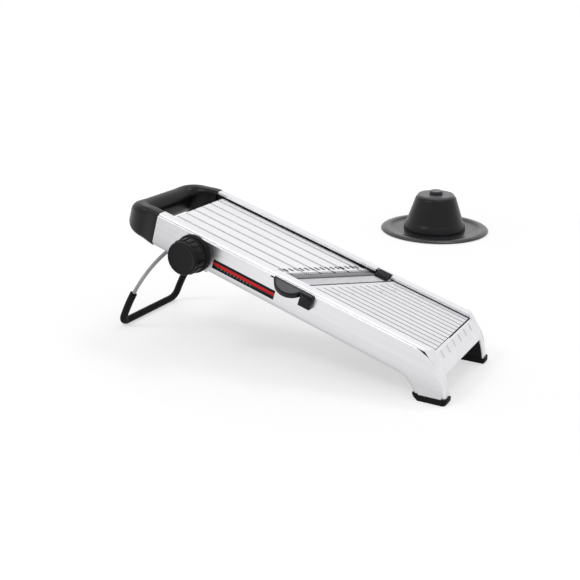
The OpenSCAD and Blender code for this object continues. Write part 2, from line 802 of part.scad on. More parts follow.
module thickness_knob() {
    pad_w = 0.62 * 360 / pad_n;
    body_r = knob_r - 1.1;
    color("#1c1c1e") at_shaft() translate([0, 0, knob_y0]) difference() {
        union() {
            cylinder(r = knob_r, h = 1.6);
            cylinder(r = body_r, h = knob_len - 1.4);
            translate([0, 0, knob_len - 1.4]) rotate_extrude() {
                square([body_r - 1.4, 1.4]);
                translate([body_r - 1.4, 0]) intersection() {
                    circle(1.4);
                    square(2);
                }
            }
            // grip pads round the knob
            for (i = [0:pad_n - 1]) rotate([0, 0, i * 360 / pad_n]) translate([0, 0, 2.6])
                rotate_extrude(angle = pad_w) translate([body_r - 1, 0])
                    square([1 + knob_r - body_r, knob_len - 7]);
        }
        // shallow dish in the face, and the bore for the shaft
        translate([0, 0, knob_len - 0.7]) cylinder(r1 = body_r - 5, r2 = body_r - 2.6, h = 1);
        translate([0, 0, -1]) cylinder(r = shaft_r + 0.05, h = knob_len - 2);
    }
}

module knob_shaft() {
    color("silver") at_shaft() translate([0, 0, -skin_y + 0.6])
        cylinder(r = shaft_r, h = skin_y + knob_y1 - 4);
}

// Outline of a lift cam: it falls steadily as the knob turns and rises again over the rest of the turn
function cam_radius(a) = a <= knob_turn ? cam_r - cam_drop * a / knob_turn
    : a <= knob_turn + 30 ? cam_r - cam_drop
    : cam_r - cam_drop * (360 - a) / (330 - knob_turn);

module lift_cams() {
    color("dimgray") at_shaft() for (z = [-cam_y - cam_t, cam_y]) translate([0, 0, z]) linear_extrude(cam_t)
        difference() {
            polygon([for (a = [0:5:355]) cam_radius(a) * [cos(90 + a), sin(90 + a)]]);
            circle(shaft_r + 0.05);
        }
}

// Involute gear: half of a tooth's width angle at radius r, with a little play
base_r = pitch_r * cos(20);
gear_play = 0.12;
function inv(a) = tan(a) * 180 / PI - a;
function half_tooth(r) = (90 - gear_play * 57.3 / gear_module) / pinion_teeth + inv(20)
    - inv(acos(min(1, base_r / r)));
function flank_r(k) = base_r + (pitch_r + gear_module - base_r) * k / 5;

module gear_outline() {
    root_r = pitch_r - 1.25 * gear_module;
    polygon([for (i = [0:pinion_teeth - 1], k = [-7:1:7]) if (k != 0)
        let (r = abs(k) == 7 ? base_r : flank_r(6 - abs(k)),
            a = 90 + 360 * i / pinion_teeth + sign(k) * half_tooth(r))
        (abs(k) == 7 ? root_r : r) * [cos(a), sin(a)]]);
}

module scale_pinion() {
    color("gray") at_shaft() translate([0, 0, gear_y0 - gear_t]) linear_extrude(gear_t) difference() {
        gear_outline();
        circle(shaft_r + 0.05);
    }
}

// Rack with straight flanks, drawn with its pitch line on y = 0 and a tooth space over x = 0
module rack_outline(x0, x1, top) {
    step = PI * gear_module;
    space = step / 4 + gear_play / 2;
    wide = space + (gear_module + 0.1) * tan(20);
    narrow = space - 1.25 * gear_module * tan(20);
    difference() {
        translate([x0, -gear_module]) square([x1 - x0, gear_module + top]);
        for (n = [floor(x0 / step):ceil(x1 / step)]) translate([n * step, 0])
            polygon([[-wide, -gear_module - 0.1], [wide, -gear_module - 0.1], [narrow, 1.25 * gear_module],
                [-narrow, 1.25 * gear_module]]);
    }
}

module scale_pointer() {
    arm_s = slot_s1 + 4;
    color("firebrick") on_slope() translate([0, -pointer_y0 + pointer_t, 0]) rotate([90, 0, 0])
        linear_extrude(pointer_t) {
            translate([-knob_s, rack_h]) rack_outline(-rack_travel - 9, 8, rack_top_h - rack_h);
            // arm from the rack down to the pointer
            translate([-knob_s + 7, rack_top_h - 3]) square([knob_s - 7 - arm_s + 4, 3]);
            translate([-arm_s, pointer_h - 1]) square([4, rack_top_h - pointer_h + 1]);
            translate([-arm_s, pointer_h - 1]) square([arm_s - pointer_head_s, 2]);
            translate([-pointer_head_s, pointer_h]) circle(2.4);
            translate([-pointer_head_s, pointer_h - 0.8]) square([8, 1.6]);
            translate([-pointer_head_s + 3, pointer_h - bar_h / 2])
                square([pointer_head_s - 3 - slot_s0 + 8, bar_h]);
        }
}

// Blank of the blade: from the tab to the clamp, with its edge at p = 0
module main_blade() {
    bevel_a = atan(blade_t / bevel_w);
    color("silver") difference() {
        on_blade() difference() {
            box([0.1, -far, -blade_t], [blade_w, far, 0]);
            // ground bevel
            translate([0, -far, -blade_t + 0.08]) rotate([0, -bevel_a, 0]) cube([3 * bevel_w, 2 * far, 5]);
        }
        on_slope() {
            box([-far, -2 * far, -9], [far, -outer_y - blade_out_y, 9]);
            box([-far, tongue_y, -9], [far, 2 * far, 9]);
            box([-far, -far, -9], [-blade_corner_s, -outer_y - 0.4, 9]);
        }
    }
}

module blade_tab() {
    tab_s0 = near_edge_s - 53.5;
    tab_s1 = near_edge_s - 4;
    tab_mid_s = near_edge_s - 22;
    block_s1 = near_edge_s - 39.5;
    plate_t = 6.5;
    back_y = -outer_y - run;
    color("#151517") on_slope() difference() {
        intersection() {
            union() {
                translate([0, back_y, 2.2]) rotate([-tab_angle, 0, 180]) translate([0, 0, -plate_t]) {
                    box([tab_s0, -2, 0], [tab_s1, 5, plate_t]);
                    intersection() {
                        translate([tab_mid_s, -5, 0]) cylinder(r = tab_r, h = plate_t);
                        box([0, 0, -1], [far, far, far]);
                    }
                }
                sweep(-block_s1, -tab_s0) polygon([[back_y, 1], [back_y - 6.2, -4.5],
                    [back_y - 6.2, -13], [back_y, -13]]);
            }
            box([-far, -far, -13], [0, back_y, 9]);
        }
        // pocket for the end of the blade, and the thumb recess
        blade_pocket();
        translate([0, back_y, 2.2]) rotate([-tab_angle, 0, 180]) intersection() {
            translate([tab_mid_s, -5, -0.8]) cylinder(r = tab_r - 2.6, h = 3);
            box([0, 2.4, -2], [far, far, far]);
        }
    }
}

// Space the blade's end fills in its tab, in the slope's own coordinates
module blade_pocket() {
    fit = 0.04;
    intersection() {
        turned() box([-1, -far, -blade_t - fit], [blade_w + fit, 0, fit]);
        box([-blade_corner_s - fit, -outer_y - blade_out_y - fit, -9], [0, 0, 9]);
    }
}

// Section of the stand: a full rod, or a tube where it has a bore
module rod_section(r, bore_r) {
    difference() {
        circle(r, $fn = 32);
        if (bore_r > 0) circle(bore_r, $fn = 32);
    }
}

// One half of the stand below its pivot, from a given angle down the bow: bow, lower bend and half
// of the foot bar, with a short core across each joint
module stand_half(r, bore_r, start) {
    core_out = r - 0.25;
    core_in = bore_r > 0 ? bore_r + 0.3 : 0;
    translate([bow_c[0], -stand_y, bow_c[1]]) rotate([90, 0, 0]) rotate([0, 0, pivot_dir - 90 + start])
        rotate_extrude(angle = stand_sweep - start) translate([stand_bow_r, 0]) rod_section(r, bore_r);
    translate([bow_end[0], stand_bend_r - stand_y, bow_end[1]]) rotate([0, -foot_dir, 0])
        rotate([0, 0, -89.85]) rotate_extrude(angle = 89.7) translate([stand_bend_r, 0])
            rod_section(r, bore_r);
    translate([bow_end[0], -stand_y, bow_end[1]]) rotate([0, 90 - foot_dir, 0]) translate([0, 0, -0.5])
        linear_extrude(1) rod_section(core_out, core_in);
    translate([stand_foot_x, stand_bend_r - stand_y, stand_foot_z]) rotate([-90, 0, 0]) {
        linear_extrude(stand_y - stand_bend_r - 0.02) rod_section(r, bore_r);
        translate([0, 0, -0.5]) linear_extrude(1) rod_section(core_out, core_in);
    }
    translate([stand_foot_x, 0, stand_foot_z]) rotate([-90, 0, 0]) translate([0, 0, -0.5])
        linear_extrude(0.51) rod_section(core_out, core_in);
}

module stand_wire() {
    color("silver") for (side = [-1, 1]) mirror([0, side > 0 ? 1 : 0, 0]) {
        stand_half(wire_r, 0, 0);
        translate([stand_pivot[0], stand_pin_r + 0.3 - stand_y, stand_pivot[1]]) rotate([90, 0, 0])
            cylinder(r = stand_pin_r, h = frame_wall_y - stand_y - run + stand_pin_r + 0.3);
    }
}

module stand_sleeve() {
    color("#111113") for (side = [-1, 1]) mirror([0, side > 0 ? 1 : 0, 0]) {
        stand_half(sleeve_r, wire_r + 0.05, stand_sweep - sleeve_up);
        // flat pad under the bar
        translate([stand_foot_x - 2.5, stand_bend_r - stand_y + 1, 0])
            cube([5, 26, stand_foot_z - wire_r - 0.5]);
    }
}

module at_holder() {
    translate([holder_x, holder_y, 0]) children();
}

// Radius of the cone's outside at height z
function cone_at(z) = cone_r + (cone_top_r - cone_r) * (z - cone_z0) / (cone_z - cone_z0);

module holder_brim() {
    hole_r = cone_r + 3;
    color("#1c1c1e") at_holder() rotate_extrude($fn = 128) polygon([[hole_r, 0], [brim_r - 2, 0],
        [brim_r, 1.6], [brim_r - 0.5, 3], [brim_r - 4, 4.8], [brim_r - 11, 5], [brim_r - 14, 4.2],
        [brim_r - 15.5, 2.4], [hole_r + 2, 2], [hole_r, 2]]);
}

module holder_cone() {
    skirt_r = cone_r + 4.4;
    color("#1c1c1e") at_holder() difference() {
        rotate_extrude($fn = 128) {
            polygon([[cone_r - shell_t, 0.4], [cone_r + 2.95, 0.4], [cone_r + 2.95, 2.05],
                [skirt_r, 2.05], [skirt_r - 0.6, 6], [cone_r + 1.5, cone_z0 - 1], [cone_r, cone_z0],
                [cone_at(cone_z - 2.5), cone_z - 2.5], [cone_top_r - 1.2, cone_z - 0.5],
                [cone_top_r - 2.2, cone_z], [0, cone_z], [0, cone_z - shell_t],
                [cone_top_r - 5, cone_z - shell_t], [cone_at(cone_z - 5) - shell_t, cone_z - 5],
                [cone_r - shell_t, cone_z0]]);
        }
        cylinder(r = rod_r + bore_gap, h = 2 * cone_z);
    }
}

module holder_top_disc() {
    disc_r = cone_top_r - 2.4;
    color("lightgray") at_holder() translate([0, 0, cone_z]) difference() {
        rotate_extrude()
            polygon([[0, 0], [disc_r, 0], [disc_r, disc_t - 1.2], [disc_r - 1, disc_t], [0, disc_t]]);
        translate([0, 0, -1]) cylinder(r = rod_r + bore_gap, h = disc_t + 2);
    }
}

// Section of a coil at one height: the wire's circle wrapped round the spring's axis
module coil_section(coil_r, coil_wire_r, pitch) {
    polygon([for (t = [0:18:342]) (coil_r + coil_wire_r * cos(t))
        * [cos(coil_wire_r * sin(t) * 360 / pitch), sin(coil_wire_r * sin(t) * 360 / pitch)]]);
}

module holder_spring() {
    turns = 6;
    z0 = plate_z + plate_t;
    h = cone_z - shell_t - z0;
    color("silver") at_holder() translate([0, 0, z0])
        linear_extrude(h, twist = -360 * turns, slices = 20 * turns, $fn = 20)
            coil_section(rod_r + 3, 0.9, h / turns);
}

module plunger_button() {
    color("#1c1c1e") at_holder() translate([0, 0, button_z]) difference() {
        rotate_extrude() {
            square([button_r - 1.6, button_h]);
            square([button_r, button_h - 1.6]);
            translate([button_r - 1.6, button_h - 1.6]) circle(1.6);
        }
        translate([0, 0, -1]) cylinder(r = rod_r - 2, h = 4);
    }
}

module plunger_rod() {
    color("gray") at_holder() {
        translate([0, 0, plate_z + plate_t]) cylinder(r = rod_r, h = button_z - plate_z - plate_t);
        translate([0, 0, button_z - 0.1]) cylinder(r = rod_r - 2.05, h = 2.9);
    }
}

prong_spots = [[0, 0], for (a = [0:60:300]) 16 * [cos(a), sin(a)],
    for (a = [15:30:345]) 29 * [cos(a), sin(a)]];

module pusher_plate() {
    color("#1c1c1e") at_holder() difference() {
        union() {
            translate([0, 0, plate_z]) cylinder(r = plate_r, h = plate_t);
            // ribs on the underside
            for (a = [0, 60, 120]) rotate([0, 0, a])
                box([1.5 - plate_r, -0.8, plate_z - 2.5], [plate_r - 1.5, 0.8, plate_z + 0.5]);
        }
        for (spot = prong_spots) translate([spot[0], spot[1], plate_z - 5])
            cylinder(r = prong_r + 0.02, h = 7);
    }
}

module pusher_prongs() {
    color("silver") at_holder() for (spot = prong_spots) translate([spot[0], spot[1], 0.8]) {
        cylinder(r1 = 0.2, r2 = prong_r, h = 2.5);
        translate([0, 0, 2.5]) cylinder(r = prong_r, h = plate_z - 3.3 + 2);
    }
}

whole_set() {
    near_skin();
    far_skin();
    near_side_frame();
    far_side_frame();
    near_rail_cap();
    far_rail_cap();
    front_panel();
    front_feet();
    handle();
    rear_cross_member();
    lower_platform();
    blade_bed();
    blade_clamp();
    dial_collar();
    scale_plate();
    ramp_hinge_pin();
    stand_bushes();
    platform_screws();
    upper_ramp();
    comb_guide_screws();
    comb_carrier();
    comb_teeth();
    thickness_knob();
    knob_shaft();
    lift_cams();
    scale_pinion();
    scale_pointer();
    main_blade();
    blade_tab();
    stand_wire();
    stand_sleeve();
    holder_brim();
    holder_cone();
    holder_top_disc();
    holder_spring();
    plunger_button();
    plunger_rod();
    pusher_plate();
    pusher_prongs();
}
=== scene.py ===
import math

import bmesh
import bpy
from mathutils import Matrix, Vector


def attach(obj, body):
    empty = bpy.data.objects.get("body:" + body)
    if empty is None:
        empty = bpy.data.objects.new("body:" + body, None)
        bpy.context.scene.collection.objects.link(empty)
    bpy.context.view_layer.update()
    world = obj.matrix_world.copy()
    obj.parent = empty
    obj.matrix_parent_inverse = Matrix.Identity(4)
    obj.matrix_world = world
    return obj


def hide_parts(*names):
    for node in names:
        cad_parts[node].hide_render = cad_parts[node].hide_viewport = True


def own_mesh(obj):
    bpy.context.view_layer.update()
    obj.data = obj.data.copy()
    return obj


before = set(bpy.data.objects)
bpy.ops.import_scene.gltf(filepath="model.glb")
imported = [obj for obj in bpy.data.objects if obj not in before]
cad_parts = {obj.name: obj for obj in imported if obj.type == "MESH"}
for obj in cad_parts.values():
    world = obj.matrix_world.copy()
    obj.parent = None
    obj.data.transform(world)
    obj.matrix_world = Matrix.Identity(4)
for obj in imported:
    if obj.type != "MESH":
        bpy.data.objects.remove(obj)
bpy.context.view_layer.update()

# -------- sizes, in mm

# Slope and side walls. On the slope, u is 0 at the deck's front edge and grows towards the front,
# s = -u grows up the slope, y runs across to the far side and h is the height square to the deck.
SLOPE = math.radians(16.9)
DECK_FRONT_Z = 48.6
DECK_LEN = 323.5
LEG_FRONT_X = 18.6
FOOT_PAD_OUT = 1.0
RAIL_OUTER = 65.0
RAIL_INNER = 51.8
RAIL_LEN = 332.5
RAIL_UP = 3.5
SIDE_LOW = -35.5

# Handle loop: how far it stands behind the rails, its bar and how the arms thin into it
HANDLE_LEN = 50.0
GRIP_THICK = 25.2
GRIP_HEIGHT = 31.0
GRIP_TOP = -4.2
GRIP_ROUND = 12.0
GRIP_OUTER = 66.5
CORNER_R = 29.6
ARM_LAP = 2.0
ARM_ROUND = 4.0
WAIST = 1.17
UNDER_EASE = 3.5

# Thickness knob, with its flange at the wall and its grip pads
KNOB_S = 277.8
KNOB_H = -18.8
KNOB_Y0 = 71.1
KNOB_LEN = 18.0
KNOB_R = 19.4
KNOB_FLANGE = 1.1
KNOB_EDGE_R = 1.6
PAD_COUNT = 16
PAD_SHARE = 0.62
PAD_SINK = 0.6

# Wire stand: lean in degrees, and the sleeve's reach round the bow, also in degrees
STAND_Y = 53.0
STAND_BEND_R = 10.0
STAND_LEAN = 66.0
STAND_BACK = 78.5
PIVOT_S = 306.3
PIVOT_H = 22.6
FOOT_Z = 4.6
WIRE_R = 2.2
PIN_R = WIRE_R + 0.2
PIN_RINGS = (-2.4, 0.0, 4.0, 8.2)
SLEEVE_R = 4.2
SLEEVE_SWEEP = 8.0
ROD_SIDES = 28

# Food holder, with its middle in the slicer's axes
HOLDER = Vector((-220.0, 523.0, 0))
HOLDER_WALL = 2.0
BRIM_R = 85.0
BRIM_IN = 3.0
CONE_R = 44.6
CONE_TOP_R = 31.2
CONE_FOOT_Z = 15.0
CONE_Z = 55.0
ROD_HOLE_R = 6.2
DISC_T = 3.3
BUTTON_R = 10.5
BUTTON_H = 5.4
BUTTON_GAP = 0.3
BUTTON_EDGE_R = 1.8
SPRING_TURNS = 6
SPRING_STEPS = 24
SPRING_END_TURN = 0.6
SPRING_R = 9.0
SPRING_WIRE_R = 0.85
SPRING_LOW = 12.9
SPRING_HIGH = CONE_Z - 2.9

# Blade: its edge crosses the middle of the deck at EDGE_S and slants by BLADE_TURN. Its near end is
# cut off square at the heel.
EDGE_S = 147.5
BLADE_TURN = math.radians(29)
BLADE_NEAR_Y = -66.6
BLADE_FAR_Y = 57.0
BLADE_HEEL_S = 178.0
BLADE_HEEL_Y = -65.4
BLADE_DEPTH = 24.0
LOCK_BEHIND = 11.6

# Ramp: painted shade along its flutes, down in its grooves and slots, in a dotted band along its
# edge by the blade and in the row of comb slits. A pair of values is where a painted shade starts
# to fade and where it ends.
RAMP_FLUTES = 16.25
RAMP_TOP = -1.0
GROOVE_SHADE_DEPTH = (0.45, 0.08)
SLOT_SHADE_DEPTH = (1.1, 0.75)
SLOT_SHADE_LEVEL = 0.12
EDGE_DOTS = 5.2
EDGE_DOTS_BLUR = 0.8
EDGE_DOT_PITCH = 2.4
EDGE_DOT_WAVE = (-0.4, 0.5)
EDGE_DOT_LEVELS = (0.18, 0.8)
COMB_BACK = 11.2
COMB_PITCH = 5.85
COMB_SHIFT = 3.0
SLIT_HALF_WIDTH = (1.15, 1.7)
SLIT_HALF_LENGTH = (2.9, 3.6)
SLIT_SHADE = 0.93

# Finger tab: a D plate on a circle, tilted at the wall, and the lock block at its front
TAB_S0 = 130.0
TAB_S1 = 179.5
TAB_MID_S = 161.5
TAB_MID_IN = 5.0
TAB_BLOCK_S1 = 144.0
TAB_BLOCK_OUT = 6.2
TAB_BLOCK_LOW = -13.0
TAB_R = 18.9
TAB_ARC = (22.0, 148.2)
TAB_TILT = 30.0
TAB_H = 2.2
TAB_T = 6.5
TAB_INSET = 0.6
TAB_ROOT = -1.0
TAB_FRONT = 5.0
TAB_RIM = 1.7
TAB_DISH = 1.1
TAB_DISH_WALL = 0.7
TAB_GAP = 0.2

# Near wall, painted shade: where it is darkest and where it is fully bright, along u and h, and the
# darkest level
WALL_REAR_SHADE = (-RAIL_LEN, -150.0, 0.72)
WALL_LOW_SHADE = (SIDE_LOW, -14.0, 0.86)

# Side window: the bar's middle, the red part's edges, and the graduations
POINTER_H = -19.4
POINTER_RED = (1.6, 1.95)
SCALE_Y = -61.6
TICK_S0 = 205.0
TICK_PITCH = 4.2
TICK_COUNT = 11
TICK_H = -22.9
TICK_OUT = 0.85
TICK_BLOCK = (0.8, 0.1, 2.2)

# Height on the far rail's inner wall above which it is painted as the rail's skin folded over it
FOLD_H = 1.0
FOLD_BLUR = 0.15

# The set is centred on the stand's foot and the front legs, and on the knob and the brim
FOOT_X = -DECK_LEN * math.cos(SLOPE) - STAND_BACK
SET_MOVE = Vector((-(FOOT_X - SLEEVE_R + LEG_FRONT_X + FOOT_PAD_OUT) / 2,
                   -(HOLDER.y + BRIM_R - KNOB_Y0 - KNOB_LEN) / 2, 0))

# -------- places


def to_set(point):
    """A point of the slicer's own axes, in mm, as a place in the set, in metres."""
    return (Vector(point) + SET_MOVE) / 1000


def on_deck(u, y, h):
    """A point along the slope (u towards the front), across (y) and square to the deck (h)."""
    return to_set((u * math.cos(SLOPE) + h * math.sin(SLOPE), y,
                   DECK_FRONT_Z - u * math.sin(SLOPE) + h * math.cos(SLOPE)))


def deck_matrix(u, y, h, turn=None):
    """Placing for a mesh drawn in mm, with its X along the slope and its Z square to the deck."""
    place = Matrix.Translation(on_deck(u, y, h)) @ Matrix.Rotation(SLOPE, 4, "Y")
    if turn is not None:
        place = place @ turn
    return place @ Matrix.Scale(0.001, 4)


def smooth(t):
    """Eases from 0 to 1 with a level start and end."""
    return t * t * (3 - 2 * t)


KNOB_TURN = Matrix.Rotation(math.radians(90), 4, "X")

# -------- nodes


def feed(tree, node, inputs):
    """Sets a node's inputs, by name or number, to plain values or links them to sockets."""
    for name, value in inputs.items():
        if isinstance(value, bpy.types.NodeSocket):
            tree.links.new(value, node.inputs[name])
        else:
            node.inputs[name].default_value = value


def add_node(tree, kind, inputs=None, **settings):
    """A new node with its settings made and its inputs fed."""
    node = tree.nodes.new(kind)
    for name, value in settings.items():
        setattr(node, name, value)
    feed(tree, node, inputs or {})
    return node


def new_tree(kind, name, inputs, outputs):
    """An empty node tree with the given sockets, and its input and output nodes."""
    tree = bpy.data.node_groups.new(name, kind)
    for way, sockets in (("INPUT", inputs), ("OUTPUT", outputs)):
        for socket, sort, *value in sockets:
            made = tree.interface.new_socket(socket, in_out=way, socket_type="NodeSocket" + sort)
            if value:
                made.default_value = value[0]
    return tree, tree.nodes.new("NodeGroupInput"), tree.nodes.new("NodeGroupOutput")


def math_node(tree, operation, *values):
    """The result of a sum on values or sockets."""
    return add_node(tree, "ShaderNodeMath", dict(enumerate(values)), operation=operation).outputs[0]


def noise_node(tree, vector, scale, detail=3.0, rough=0.55):
    """A slow or fine noise from 0 to 1 over the surface."""
    return add_node(tree, "ShaderNodeTexNoise", {"Vector": vector, "Scale": scale, "Detail": detail,
                                                 "Roughness": rough}).outputs["Fac"]


def range_node(tree, value, start, end, low=0.0, high=1.0, course="LINEAR"):
    """Goes from low at start to high at end, and stays level outside them."""
    return add_node(tree, "ShaderNodeMapRange",
                    {"Value": value, "From Min": start, "From Max": end, "To Min": low,
                     "To Max": high}, interpolation_type=course).outputs["Result"]


def mix_node(tree, factor, under, over, blend_type="MIX"):
    """Blends two colours by a factor."""
    return add_node(tree, "ShaderNodeMix", {"Factor": factor, "A": under, "B": over},
                    data_type="RGBA", blend_type=blend_type).outputs["Result"]

# -------- shader groups


def make_brushed_grain():
    """Fine parallel lines left by brushing, stretched along one direction of the object."""
    group, into, out = new_tree(
        "ShaderNodeTree", "brushed_grain",
        [("Vector", "Vector"), ("Turn", "Vector", (0, 0, 0)), ("Stretch", "Vector", (1, 60, 60)),
         ("Scale", "Float", 40.0)],
        [("Height", "Float"), ("Streak", "Float")])
    turned = add_node(group, "ShaderNodeMapping", {"Vector": into.outputs["Vector"],
                                                   "Rotation": into.outputs["Turn"]})
    place = add_node(group, "ShaderNodeVectorMath", {0: turned.outputs["Vector"],
                                                     1: into.outputs["Stretch"]},
                     operation="MULTIPLY").outputs["Vector"]
    scale = into.outputs["Scale"]
    fine = noise_node(group, place, scale, 4, 0.6)
    coarse = noise_node(group, place, math_node(group, "MULTIPLY", scale, 0.13), 2, 0.5)
    height = math_node(group, "MULTIPLY_ADD", coarse, 0.5, fine)
    feed(group, out, {"Height": height, "Streak": coarse})
    return group


def make_moulded_grain():
    """Eggshell surface of moulded plastic: a fine pebble with slow waves under it."""
    group, into, out = new_tree(
        "ShaderNodeTree", "moulded_grain",
        [("Vector", "Vector"), ("Scale", "Float", 1500.0), ("Waves", "Float", 0.3)],
        [("Height", "Float"), ("Patch", "Float")])
    place = into.outputs["Vector"]
    pebble = add_node(group, "ShaderNodeTexVoronoi",
                      {"Vector": place, "Scale": into.outputs["Scale"]}, feature="SMOOTH_F1")
    wave = noise_node(group, place, 60, 3)
    height = math_node(group, "MULTIPLY_ADD", wave, into.outputs["Waves"], pebble.outputs["Distance"])
    feed(group, out, {"Height": height, "Patch": noise_node(group, place, 22, 4)})
    return group


def make_handling_marks():
    """Faint finger smudges and hairline scuffs: how much rougher and duller a spot is."""
    group, into, out = new_tree(
        "ShaderNodeTree", "handling_marks",
        [("Vector", "Vector"), ("Smudge", "Float", 0.1), ("Scuff", "Float", 0.1)],
        [("Roughness", "Float"), ("Dulling", "Float")])
    place = into.outputs["Vector"]
    soft = range_node(group, noise_node(group, place, 35, 5, 0.6), 0.42, 0.7)
    lines = add_node(group, "ShaderNodeTexWave", {"Vector": place, "Scale": 12, "Distortion": 26,
                                                  "Detail": 3, "Detail Scale": 1.6})
    hair = range_node(group, lines.outputs["Fac"], 0.985, 1.0)
    smudged = math_node(group, "MULTIPLY", soft, into.outputs["Smudge"])
    scuffed = math_node(group, "MULTIPLY", hair, into.outputs["Scuff"])
    total = math_node(group, "ADD", smudged, scuffed)
    feed(group, out, {"Roughness": total, "Dulling": total})
    return group


BRUSHED = make_brushed_grain()
MOULDED = make_moulded_grain()
MARKS = make_handling_marks()

# -------- materials


def place_group(tree, group, vector, **values):
    """A shader group at work in a material, with its own values."""
    return add_node(tree, "ShaderNodeGroup", {"Vector": vector, **values}, node_tree=group)


ROUGH_SWING = 0.12


def start_material(name, colour, rough, metallic=0.0, coat=0.0):
    """A material with its plain values set, and the object's own coordinates."""
    material = bpy.data.materials.new(name)
    material.use_nodes = True
    tree = material.node_tree
    shader = tree.nodes["Principled BSDF"]
    feed(tree, shader, {"Base Color": (*colour, 1), "Roughness": rough, "Metallic": metallic,
                        "Coat Weight": coat, "Coat Roughness": 0.08})
    place = tree.nodes.new("ShaderNodeTexCoord").outputs["Object"]
    return material, tree, shader, place


def vary(tree, shader, colour, other, mask, rough, marks):
    """Colour and roughness that change slowly over the surface, with handling marks added."""
    swing = math_node(tree, "MULTIPLY_ADD", mask, ROUGH_SWING, rough - ROUGH_SWING / 2)
    feed(tree, shader, {"Base Color": mix_node(tree, mask, (*colour, 1), (*other, 1)),
                        "Roughness": math_node(tree, "ADD", swing, marks.outputs["Roughness"])})


def bump(tree, shader, height, strength, distance):
    """Small relief from a height that varies over the surface; distance is in metres."""
    relief = add_node(tree, "ShaderNodeBump",
                      {"Strength": strength, "Distance": distance, "Height": height})
    feed(tree, shader, {"Normal": relief.outputs["Normal"]})


def slope_place(tree, place):
    """Where a spot lies on the slope, in mm: along it (u), across it (y) and square to it (h)."""
    found = []
    origin = on_deck(0, 0, 0)
    for way in ((math.cos(SLOPE), 0, -math.sin(SLOPE)), (0, 1, 0),
                (math.sin(SLOPE), 0, math.cos(SLOPE))):
        dot = add_node(tree, "ShaderNodeVectorMath", {0: place, 1: way}, operation="DOT_PRODUCT")
        found.append(math_node(tree, "MULTIPLY_ADD", dot.outputs["Value"], 1000.0,
                               -1000.0 * origin.dot(Vector(way))))
    return found


def surface(material):
    """A material's tree and shader, and where a spot of it lies on the slope."""
    tree = material.node_tree
    place = tree.nodes["Texture Coordinate"].outputs["Object"]
    return tree, tree.nodes["Principled BSDF"], slope_place(tree, place)


def fade(tree, value, start, end, low, high):
    """Goes smoothly from low at start to high at end."""
    return range_node(tree, value, start, end, low, high, "SMOOTHSTEP")


def recolour(tree, shader, factor, over, blend_type="MIX"):
    """Lays a colour over the one that the shader has."""
    under = shader.inputs["Base Color"].links[0].from_socket
    feed(tree, shader, {"Base Color": mix_node(tree, factor, under, over, blend_type)})


def darken(tree, shader, shade):
    """Multiplies the colour by a value that varies over the surface."""
    recolour(tree, shader, 1, shade, "MULTIPLY")


def from_edge(tree, u, y, up=0.0):
    """Distance down the slope from the blade's edge, or from a line that lies up from it, in mm."""
    slanted = math_node(tree, "MULTIPLY_ADD", y, -math.tan(BLADE_TURN), u)
    return math_node(tree, "ADD", slanted, EDGE_S + up / math.cos(BLADE_TURN))


def square_to_edge(tree, u, y):
    """Distance from the blade's edge, square to it, in mm: over 0 on the blade, under 0 on the ramp."""
    return math_node(tree, "MULTIPLY", from_edge(tree, u, y), math.cos(BLADE_TURN))


def off_middle(tree, value, middle):
    """How far a value is from a middle, either way."""
    return math_node(tree, "ABSOLUTE", math_node(tree, "SUBTRACT", value, middle))


def flute_shade(material, pitch, top, line_width=3.6, flute_line_shade=0.84, groove_shade_level=0.86):
    """Painted shade: grey along the flutes of a deck, and darker down in its grooves and slots."""
    tree, shader, (_, y, h) = surface(material)
    share = math_node(tree, "FRACT", math_node(tree, "DIVIDE", y, pitch))
    off = math_node(tree, "MULTIPLY", off_middle(tree, share, 0.5), pitch)
    line = fade(tree, off, 0.4, line_width, flute_line_shade, 1.0)
    groove = fade(tree, h, *(top - depth for depth in GROOVE_SHADE_DEPTH), groove_shade_level, 1.0)
    slot = fade(tree, h, *(top - depth for depth in SLOT_SHADE_DEPTH), SLOT_SHADE_LEVEL, 1.0)
    shade = math_node(tree, "MULTIPLY", math_node(tree, "MULTIPLY", line, groove), slot)
    darken(tree, shader, shade)


def metal(name, colour, other, rough, stretch=(1, 60, 60), scale=40.0, strength=0.25,
          smudge=0.05, scuff=0.05):
    """A metal with a grain; stretch is how much finer the grain is along each axis."""
    material, tree, shader, place = start_material(name, colour, rough, 1.0)
    grain = place_group(tree, BRUSHED, place, Turn=(0, -SLOPE, 0), Stretch=stretch, Scale=scale)
    marks = place_group(tree, MARKS, place, Smudge=smudge, Scuff=scuff)
    vary(tree, shader, colour, other, grain.outputs["Streak"], rough, marks)
    bump(tree, shader, grain.outputs["Height"], strength, 0.00005)
    return material


def plastic(name, colour, other, rough, scale=1500.0, waves=0.3, strength=0.3, coat=0.0,
            smudge=0.08, scuff=0.06, specular=0.22):
    """A moulded plastic or rubber with a pebbled surface."""
    material, tree, shader, place = start_material(name, colour, rough, 0, coat)
    feed(tree, shader, {"Specular IOR Level": specular})
    grain = place_group(tree, MOULDED, place, Scale=scale, Waves=waves)
    marks = place_group(tree, MARKS, place, Smudge=smudge, Scuff=scuff)
    vary(tree, shader, colour, other, grain.outputs["Patch"], rough, marks)
    bump(tree, shader, grain.outputs["Height"], strength, 0.00008)
    return material


